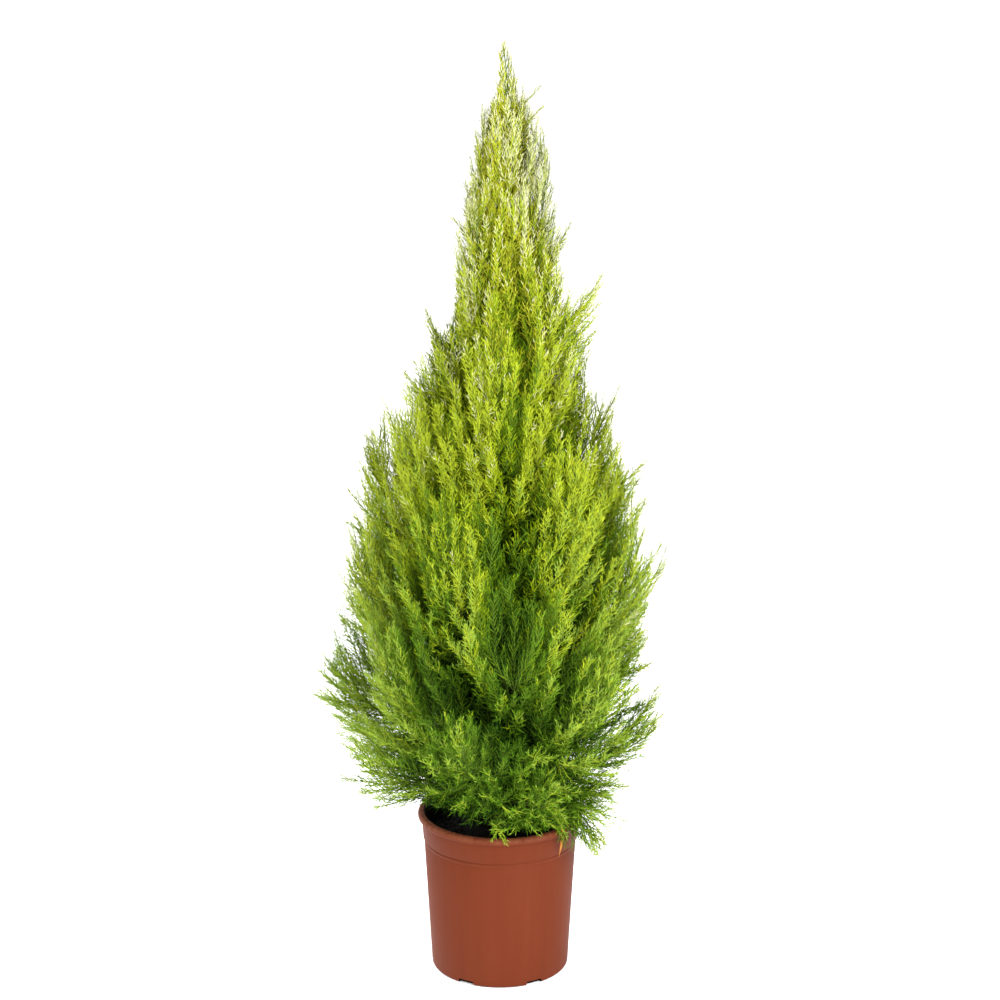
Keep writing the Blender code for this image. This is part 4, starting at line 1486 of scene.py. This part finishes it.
    def fitted(
        self, index: int | None, curves: Curves, overlap: float, stretch: float
    ) -> tuple[Curves, np.ndarray]:
        """The longest form of each curve that stays in the plume's space.

        Args:
            index: Number of the plume, or nothing for shoots from the trunk.
            curves: The curves at full length.
            overlap: How far they may run into their neighbours' spaces.
            stretch: Share of the crown's reach that they may fill.

        Returns:
            The curves that fit, and their numbers.
        """
        shares = np.zeros(len(curves.foot))
        for shrink in self.shrinks:
            left = np.flatnonzero(shares == 0)
            if not len(left):
                break
            lines = curves.picked(left).shrunk(shrink).lines(6)[:, 1:]
            shares[left[self.space.holds(index, lines, overlap, stretch)]] = shrink
        kept = np.flatnonzero(shares)
        return curves.picked(kept).shrunk(shares[kept]), kept

    def spiral(self, line: np.ndarray, spacing: float, least: int, ends: Span, rng: Chance) -> tuple:
        """Feet of twigs in a golden-angle spiral on a line.

        Args:
            line: Points along the line.
            spacing: Distance between twigs.
            least: Least number of twigs.
            ends: Shares of the line between which they stand.
            rng: Source of chance.

        Returns:
            The line's length, then share of the way along, foot, direction ahead and direction across.
        """
        length = np.linalg.norm(np.diff(line, axis=0), axis=1).sum()
        count = max(int(length / spacing), least)
        place = blend(*ends, (np.arange(count) + 0.5) / count)
        before, after = (along_line(line, np.clip(place + step, 0, 1)) for step in (-0.03, 0.03))
        ahead = unit(after - before)
        turns = rng.uniform(0, 2 * math.pi) + GOLDEN_TURN * np.arange(count)
        return length, place, along_line(line, place), ahead, around(ahead, turns)

    def rise(self, foot: np.ndarray, steps: Span) -> np.ndarray:
        """Upward part of a direction: little or negative at the crown's foot, and more above."""
        return np.interp(foot[:, 2], self.rise_heights, steps)[:, None] * UP

    def stem_twigs(self, index: int, stem: np.ndarray, rng: Chance) -> Curves:
        """Twigs along a plume's stem, by the rule of the part's source.

        Args:
            index: Number of the plume.
            stem: Points along its stem.
            rng: Source of chance.

        Returns:
            The twigs.
        """
        length, place, foot, ahead, across = self.spiral(stem, self.twig_spacing, 8, self.stem_ends, rng)
        rise = self.rise(foot, self.stem_rise)
        spread = rng.uniform(*self.stem_spread, (len(foot), 1))
        direction = unit(self.stem_ahead * ahead + spread * across + self.stem_lift * rise)
        size = float(np.clip(length / self.full_stem, *self.stem_sizes))
        if index == len(self.plumes) - 1:
            size = self.leader_size
        reach = self.branch_length * size * blend(*self.stem_taper, place)
        reach = (reach * rng.uniform(*self.stem_chance, len(foot)))[:, None]
        curves = Curves.grown(foot, direction, direction + self.stem_ahead * ahead + rise, reach)
        return self.fitted(index, curves, self.overlap, 1.0)[0]

    def bough_twigs(self, index: int, bough: np.ndarray, rng: Chance) -> Curves:
        """Shorter twigs on the outer part of a bough, which fill the crown round the trunk.

        Args:
            index: Number of the plume.
            bough: Points along its bough.
            rng: Source of chance.

        Returns:
            The twigs.
        """
        _, _, foot, ahead, across = self.spiral(bough, self.bough_twig_spacing, 0, self.bough_ends, rng)
        forth, aside, up = self.bough_leaving
        direction = unit(forth * ahead + aside * across + up * UP)
        reach = (self.bough_twig_length * rng.uniform(*self.bough_chance, len(foot)))[:, None]
        forth, up = self.bough_ending
        curves = Curves.grown(foot, direction, direction + forth * ahead + up * UP, reach)
        return self.fitted(index, curves, 3 * self.overlap, self.inner_stretch)[0]

    def trunk_growth(self, rng: Chance) -> Curves:
        """Twigs straight from the trunk; the lowest hang outwards over the compost.

        Args:
            rng: Source of chance.

        Returns:
            The twigs.
        """
        trunk, count = self.crown.trunk, self.trunk_twigs
        share = (np.arange(count) + 0.5) / count
        low, high = self.trunk_ends
        heights = blend(trunk.foot + low, trunk.top + high, share**self.trunk_power)
        turn = GOLDEN_TURN * np.arange(count) + rng.uniform(-0.3, 0.3, count)
        out = outwards(turn, 1, 0)
        foot = trunk.centres(heights) + out * (trunk.radii(heights) + 0.0005)[:, None]
        skirt = np.clip((self.skirt_top - heights) / (self.skirt_top - trunk.foot), 0, 1)[:, None]
        reach = (self.trunk_twig_length * rng.uniform(*self.trunk_chance, count))[:, None]
        reach = reach * (1 + self.skirt_growth * skirt)
        leaving, ending = (out + blend(*rises, skirt) * UP for rises in self.trunk_rises)
        curves = Curves.grown(foot, unit(leaving), ending, reach, self.trunk_bend)
        return self.fitted(None, curves, 0.0, self.inner_stretch)[0]

    def sprigs(self, rng: Chance) -> Curves:
        """Strong twigs from the nearest stems to the tips that stand out of the crown on both sides.

        Args:
            rng: Source of chance.

        Returns:
            The twigs.
        """
        heights, reaches, lengths = (np.array(part) for part in zip(*self.TIPS))
        astray = rng.uniform(-self.sprig_turn, self.sprig_turn, len(heights))
        turn = np.where(reaches < 0, math.pi, 0) + astray
        out = outwards(turn, 1, 0)
        tip = outwards(turn, np.abs(reaches) / np.abs(np.cos(turn)), heights)
        lengths = lengths[:, None]
        wanted = tip - unit(out + np.interp(heights, *self.SPRIG_RISE)[:, None] * UP) * lengths
        stems = np.concatenate([plume.route[max(plume.bough_points, 2) :] for plume in self.plumes[:-1]])
        stems = stems[self.depths(stems) < self.sprig_depth]
        offset = wanted[:, None] - stems[None]
        above = (offset[..., 2] < 0) * np.interp(heights, self.upright_heights, (0, 0.1))[:, None]
        foot = stems[(np.linalg.norm(offset, axis=2) + above).argmin(axis=1)]
        return Curves(foot, blend(foot, tip, 0.5) + self.sprig_sag * lengths * (out - 0.5 * UP), tip)

    def over_rim(self) -> Curves:
        """Twigs of the drooping plume that hang over the pot's rim.

        Returns:
            The twigs.
        """
        turn, reach, height, place = (np.array(part) for part in zip(*self.HANGING))
        tip = outwards(np.radians(turn), reach, height)
        foot = along_line(self.plumes[0].route, place)
        bend = blend(foot, tip, self.rim_bend)
        bend[:, 2] = foot[:, 2] + self.rim_arch
        return Curves(foot, bend, tip)

    def side_shoots(
        self, index: int | None, twigs: Curves, stretch: float, rng: Chance
    ) -> tuple[Curves, np.ndarray, np.ndarray]:
        """Shoots on both sides of each twig, which lie in a plane that faces outwards.

        Args:
            index: Number of the plume, or nothing for twigs from the trunk.
            twigs: The twigs that carry them.
            stretch: Share of the crown's reach that they may fill.
            rng: Source of chance.

        Returns:
            The shoots, how far along its twig each one stands, and the number of its twig.
        """
        sizes = twigs.sizes()
        counts = np.maximum((sizes / self.shoot_spacing).astype(int), 2)
        owner, step, share, foot, ahead = twigs.spread(counts, self.shoot_start, self.shoot_run, 0.2, rng)
        outward = foot * LEVEL
        outward = unit(outward - (outward * ahead).sum(axis=1, keepdims=True) * ahead)
        sign = np.where(step % 2 == 0, 1.0, -1.0)
        roll = rng.normal(0, self.shoot_roll, len(step))
        aside = (sign * np.cos(roll))[:, None] * np.cross(ahead, outward) + np.sin(roll)[:, None] * outward
        angle = (self.shoot_angle * rng.uniform(0.8, 1.2, len(step)))[:, None]
        wild = np.interp(foot[:, 2], self.wild_heights, (self.wildness, 0))[:, None]
        direction = np.cos(angle) * ahead + np.sin(angle) * aside + wild * rng.normal(0, 1, foot.shape)
        taper = 1 - np.interp(foot[:, 2], self.wild_heights, self.shoot_tapers) * share
        reach = self.shoot_share * sizes[owner] * taper * rng.uniform(0.75, 1.2, len(step))
        reach = np.clip(reach, *self.shoot_limits)[:, None]
        ending = direction + 0.6 * ahead + self.rise(foot, self.shoot_rise)
        overlap = self.overlap if index is not None else 0.0
        curves, kept = self.fitted(index, Curves.grown(foot, direction, ending, reach), overlap, stretch)
        return curves, share[kept], owner[kept]

    def facing(self, places: np.ndarray, rng: Chance) -> np.ndarray:
        """Where the back of a blade at each place is turned to: outwards, a little up, and at random."""
        astray = rng.normal(0, self.facing_spread, places.shape)
        return unit(places * LEVEL) + self.facing_lift * UP + astray

    def depths(self, places: np.ndarray) -> np.ndarray:
        """How far out in the crown each place lies, from 0 at the axis to 1 at the outline."""
        x, y, z = places.T
        return np.hypot(x, y) / np.maximum(self.crown.reach(z, np.arctan2(y, x)), 0.01)

    def crest(self, index: int | None, places: np.ndarray) -> np.ndarray:
        """How far each place stands out from its plume's stem.

        Args:
            index: Number of the plume, or nothing for growth from the trunk.
            places: The places.

        Returns:
            Numbers from -1 behind the stem to 1 on the plume's crest.
        """
        if index is None:
            return np.full(len(places), -1.0)
        gaps = places[:, None] - self.plumes[index].route[None]
        nearest = gaps[np.arange(len(places)), np.linalg.norm(gaps, axis=2).argmin(axis=1)]
        return np.clip((nearest * unit(places * LEVEL)).sum(axis=1) / self.crest_depth, -1, 1)

    def streams(self, places: np.ndarray) -> np.ndarray:
        """How much painted light the streams, and painted shade the gaps, that rise through the crown give
        each place.

        Args:
            places: The places.

        Returns:
            Steps of tone.
        """
        turn, height = np.arctan2(places[:, 1], places[:, 0]), places[:, 2]
        about, upwards, strength = self.STREAM_WAVES
        runs = outwards(turn, about, upwards * height)
        light = strength * np.array([noise.noise(Vector(run)) for run in runs])
        for at, middle, wide, high, lighter in self.STREAMS:
            off = (np.degrees(turn) - at + 180) % 360 - 180
            light += lighter * np.exp(-((off / wide) ** 2) - ((height - middle) / high) ** 2)
        return light

    def tones(
        self, index: int | None, middles: np.ndarray, along: np.ndarray, cast: np.ndarray, rng: Chance
    ) -> np.ndarray:
        """The tone dealt to each spray: painted light and shade, with random tone besides.

        Args:
            index: Number of the plume, or nothing for shoots from the trunk.
            middles: Middle of each spray.
            along: How far out on its twig each one stands.
            cast: How much lighter or darker its whole twig is, in steps.
            rng: Source of chance.

        Returns:
            Numbers of the tones, counted up through the zones of the crown.
        """
        z = middles[:, 2]
        climb = (z - self.crown.lowest_tip) / (self.crown.top - self.crown.lowest_tip)
        zone = np.clip((climb * len(Zone) + rng.normal(0, self.zone_blur, len(z))).astype(int), 0, 2)
        depth, side = self.depths(middles), sideways(middles)
        # Painted shade deep in the crown, and lighter tones further out on each twig and higher up.
        light = self.depth_light * depth - self.shade + self.along_light * along + self.climb_light * climb
        light = light + cast + rng.normal(0, self.tone_blur, len(z))
        # Painted light on each plume's crest and on the crown's sides, painted shade behind each stem.
        light += self.crest_light * self.crest(index, middles) + side * np.interp(depth, *self.SIDE_LIGHT)
        # Painted light of the streams, painted shade of the gaps between them.
        light += self.streams(middles)
        light += np.interp(z, self.fine_heights, (0, self.top_light))
        step = np.clip(light.astype(int), 0, TONE_STEPS - 1)
        # Painted light: some of the outermost sprays on the sides are dealt the high zone's palest tones.
        edge = np.interp(side, self.pale_sides, (0, 1)) * np.interp(depth, self.pale_depths, (0, 1))
        pale = rng.uniform(0, 1, len(z)) < self.pale_edge * edge
        return np.where(pale, 2 * TONE_STEPS + np.maximum(step, self.pale_step), zone * TONE_STEPS + step)

    def twiglets(
        self, curves: Curves, tones: np.ndarray, bare: float, owner: int, stretch: float, rng: Chance
    ) -> None:
        """Scaly twiglets all round each shoot, coarser deep in the crown.

        Args:
            curves: The shoots.
            tones: Tone of each shoot.
            bare: Share of each shoot that is bare at its foot.
            owner: Number of the plume.
            stretch: Share of the crown's reach that they fill; those that would pass it stay short.
            rng: Source of chance.
        """
        sizes, middles = curves.sizes(), curves.lines(3)[:, 1]
        coarse = np.interp(self.depths(middles), *self.COARSENESS)
        coarse = coarse * np.interp(middles[:, 2], self.fine_heights, (1.0, self.fine_size))
        counts = np.maximum((sizes * (1 - bare) / (self.twiglet_spacing * coarse)).astype(int), 2)
        line, step, share, foot, ahead = curves.spread(counts, bare, 1 - bare, 0.1, rng)
        across = around(ahead, GOLDEN_TURN * step + rng.uniform(0, 2 * math.pi, len(counts))[line])
        angle = self.twiglet_angle * rng.uniform(0.7, 1.25, len(step)) * (1 - 0.35 * share)
        angle = (angle * np.interp(foot[:, 2], self.fine_heights, (1.0, self.fine_angle)))[:, None]
        direction = unit(np.cos(angle) * ahead + np.sin(angle) * across + 0.10 * UP)
        taper = np.minimum(1.15 - 0.5 * share, 0.6 + sizes[line] / 0.03) * coarse[line]
        reach = (self.twiglet_length * taper * rng.uniform(0.7, 1.2, len(step)))[:, None]
        tip = foot + direction * reach
        beyond = np.hypot(tip[:, 0], tip[:, 1]) > stretch * self.space.fringe(tip) + self.twiglet_margin
        tip = np.where(beyond[:, None], blend(foot, tip, 0.4), tip)
        tone = tones[line]
        tone = tone + ((share > self.pale_tip) & (tone % TONE_STEPS < TONE_STEPS - 1))
        radii = self.twiglet_radius * coarse[line]
        for number in np.unique(tone):
            chosen = tone == number
            rows = (foot[chosen], tip[chosen], radii[chosen], np.full(chosen.sum(), owner))
            self.needles.setdefault(int(number), []).append(rows)

    def dress(
        self, index: int | None, twigs: Curves, ends: Curves | None, rng: Chance, stretch: float = 1.02
    ) -> None:
        """Side shoots and twiglets on a set of twigs, and twiglets on a stem's own end.

        Args:
            index: Number of the plume, or nothing for twigs from the trunk.
            twigs: The twigs.
            ends: The stem's end, where there is one.
            rng: Source of chance.
            stretch: Share of the crown's reach that the shoots may fill.
        """
        count = len(twigs.foot)
        owner = len(self.plumes) - 1 if index is None else index
        thick = np.linspace(*self.twig_radii, 5)[None] * np.ones((count, 1))
        self.wood.append(whips(twigs.lines(5), thick, 3))
        shoots, along, bearer = self.side_shoots(index, twigs, stretch, rng)
        cast = rng.normal(0, self.plume_cast) + rng.normal(0, self.twig_cast, count)
        bare, stand = self.twig_ends
        sets = [(twigs, bare, np.full(count, stand), cast), (shoots, self.shoot_start, along, cast[bearer])]
        if ends:
            sets.append((ends, 0.0, np.ones(1), np.zeros(1)))
        for curves, bare, stand, lighter in sets:
            tones = self.tones(index, curves.lines(3)[:, 1], stand, lighter, rng)
            if curves is shoots:
                # Shoots of pale and of deep tones are lit and shaded copies: painted light and shade.
                pale = (tones % TONE_STEPS >= self.pale_step) | (tones >= 2 * TONE_STEPS)
                facing = self.facing(shoots.foot, rng)
                for name, chosen in (("pale", pale), ("deep", ~pale)):
                    rows = ribbons(shoots.picked(chosen).lines(3), self.axis_radius, facing[chosen])
                    self.axes.setdefault(name, []).append(rows)
            self.twiglets(curves, tones, bare, owner, stretch, rng)

    def grow(self, index: int, plume: Plume) -> None:
        """Grows one plume.

        Args:
            index: Number of the plume.
            plume: Its plan.
        """
        rng = np.random.default_rng(self.crown.seed * 1000 + index)
        stem = plume.route[max(plume.bough_points - 1, 0) :]
        foot = plume.foot_radius * (self.crown.bough_tip_share if plume.bough_points else 1)
        beyond = np.flatnonzero(np.hypot(*stem[:, :2].T) > self.space.fringe(stem))
        kept = stem[: max(beyond[0], 4)] if len(beyond) else stem
        self.wood.append(whips(kept[None], np.linspace(foot, self.stem_tip_radius, len(kept))[None], 6))
        tip_foot = along_line(kept, np.array(self.end_marks))
        ends = Curves(tip_foot[:1], tip_foot[1:], kept[-1:])
        self.dress(index, self.stem_twigs(index, stem, rng), ends, rng)
        if plume.bough_points:
            self.dress(index, self.bough_twigs(index, plume.route[: plume.bough_points], rng), None, rng)

    def build(self) -> None:
        """Grows every plume and joins each kind of growth into its pieces."""
        for index, plume in enumerate(self.plumes):
            self.grow(index, plume)
        rng = np.random.default_rng(self.crown.seed)
        self.dress(None, self.trunk_growth(rng), None, rng)
        self.dress(None, self.sprigs(rng), None, rng, self.sprig_stretch)
        self.dress(0, self.over_rim(), None, rng, self.rim_stretch)
        nodes = [plume.node for plume in self.plumes]
        dry = whips(np.array(self.DRY)[None], np.linspace(*self.DRY_RADII, len(self.DRY))[None], 5)
        for name, rows, finish, slot, replaced in (
            ("dry_twig", [dry], PlainFinish("straw", (188, 122, 56), 0.7), "bark", []),
            ("twigs", self.wood, PlainFinish("twig bark", (82, 104, 36), 0.7), "bark", nodes),
            # Shaded and lit copies of the shoots' green: painted shade and painted light.
            ("shoots_shaded_tone", self.axes["deep"], PlainFinish("green shoots in painted shade", (92, 120, 26)), "foliage", nodes),
            ("shoots_lit_tone", self.axes["pale"], PlainFinish("pale shoots in painted light", (142, 158, 40)), "foliage", nodes),
        ):
            add_piece(name, mesh_from_arrays(name, *joined(rows)), finish.material(), slot, *replaced)
        # One piece for each tone: the steps are lit and shaded copies of each zone's colour, painted light
        # and shade.
        for number, rows in sorted(self.needles.items()):
            zone, step = list(Zone)[number // TONE_STEPS], number % TONE_STEPS
            roots, tips, radii, owners = (np.concatenate(part) for part in zip(*rows))
            facing = self.facing(roots, np.random.default_rng(number))
            name = f"needles_{zone.name.lower()}_{step + 1}"
            mesh = mesh_from_arrays(name, *blades(roots, tips, radii, facing))
            replaced = [nodes[owner] for owner in np.unique(owners)]
            add_piece(name, mesh, zone.finish(step).material(), "foliage", *replaced)


# Studio


@dataclass
class Studio:
    """Pale floor, soft light and the photograph's camera."""

    # name, place, height that it points at on the axis, side and watts of each lamp
    LAMPS = (
        ("key", (1.6, -2.8, 2.2), 0.5, 2.6, 208),
        ("back", (-1.9, 1.8, 2.2), 0.6, 1.6, 90),
        ("left", (-2.1, 0.3, 2.5), 0.65, 1.6, 45),
    )
    WHITE = (1, 1, 1, 1)

    distance: float = 3.0
    height: float = 1.40
    tilt: float = math.radians(15.6)
    focal_share: float = 2.767
    sensor: float = 36.0
    floor_size: float = 30.0
    floor_drop: float = 0.0002
    floor_glow: float = 0.22
    sky: float = 1.06

    def lamp(self, name: str, place: Triple, aim: float, size: float, power: float) -> None:
        """A square soft light.

        Args:
            name: Name of the light.
            place: Where it stands.
            aim: Height on the plant's axis that it points at.
            size: Its side.
            power: Its power in watts.
        """
        data = bpy.data.lights.new(name, "AREA")
        data.size = size
        data.energy = power
        lamp = bpy.data.objects.new(name, data)
        lamp.location = place
        lamp.rotation_euler = (Vector((0, 0, aim)) - Vector(place)).to_track_quat("-Z", "Y").to_euler()
        bpy.context.scene.collection.objects.link(lamp)

    def floor(self) -> None:
        """The floor, which glows a little so that it stays as pale as the photograph's ground."""
        bm = bmesh.new()
        bmesh.ops.create_grid(bm, x_segments=1, y_segments=1, size=self.floor_size)
        floor = bpy.data.objects.new("floor", mesh_of(bm, "floor"))
        floor.location.z = -self.floor_drop
        finish = PlainFinish("pale floor", (246, 246, 246), 0.7, 0.0).material()
        glow = finish.node_tree.nodes["Principled BSDF"].inputs
        glow["Emission Color"].default_value = self.WHITE
        glow["Emission Strength"].default_value = self.floor_glow
        floor.data.materials.append(finish)
        bpy.context.scene.collection.objects.link(floor)

    def build(self) -> None:
        """Makes floor, world, lights and camera."""
        scene = bpy.context.scene
        self.floor()
        world = bpy.data.worlds.new("studio")
        world.use_nodes = True
        sky = world.node_tree.nodes["Background"].inputs
        sky["Color"].default_value = self.WHITE
        sky["Strength"].default_value = self.sky
        scene.world = world
        for lamp in self.LAMPS:
            self.lamp(*lamp)
        data = bpy.data.cameras.new("camera")
        data.sensor_width = self.sensor
        data.lens = self.sensor * self.focal_share
        camera = bpy.data.objects.new("camera", data)
        camera.location = (0, -self.distance, self.height)
        camera.rotation_euler = (math.pi / 2 - self.tilt, 0, 0)
        scene.collection.objects.link(camera)
        scene.camera = camera
        scene.view_settings.view_transform = "Standard"


def main() -> None:
    """Builds the studio, the pot and the plant."""
    logging.basicConfig(level=logging.INFO, format="%(message)s")
    Studio().build()
    pot = NurseryPot()
    pot.build()
    CompostFill(pot).build()
    crown = Crown(Trunk())
    plumes = crown.plan()
    Limbs(crown, plumes).build()
    Foliage(crown, plumes, Space(plumes, crown, pot)).build()


if __name__ == "__main__":
    main()
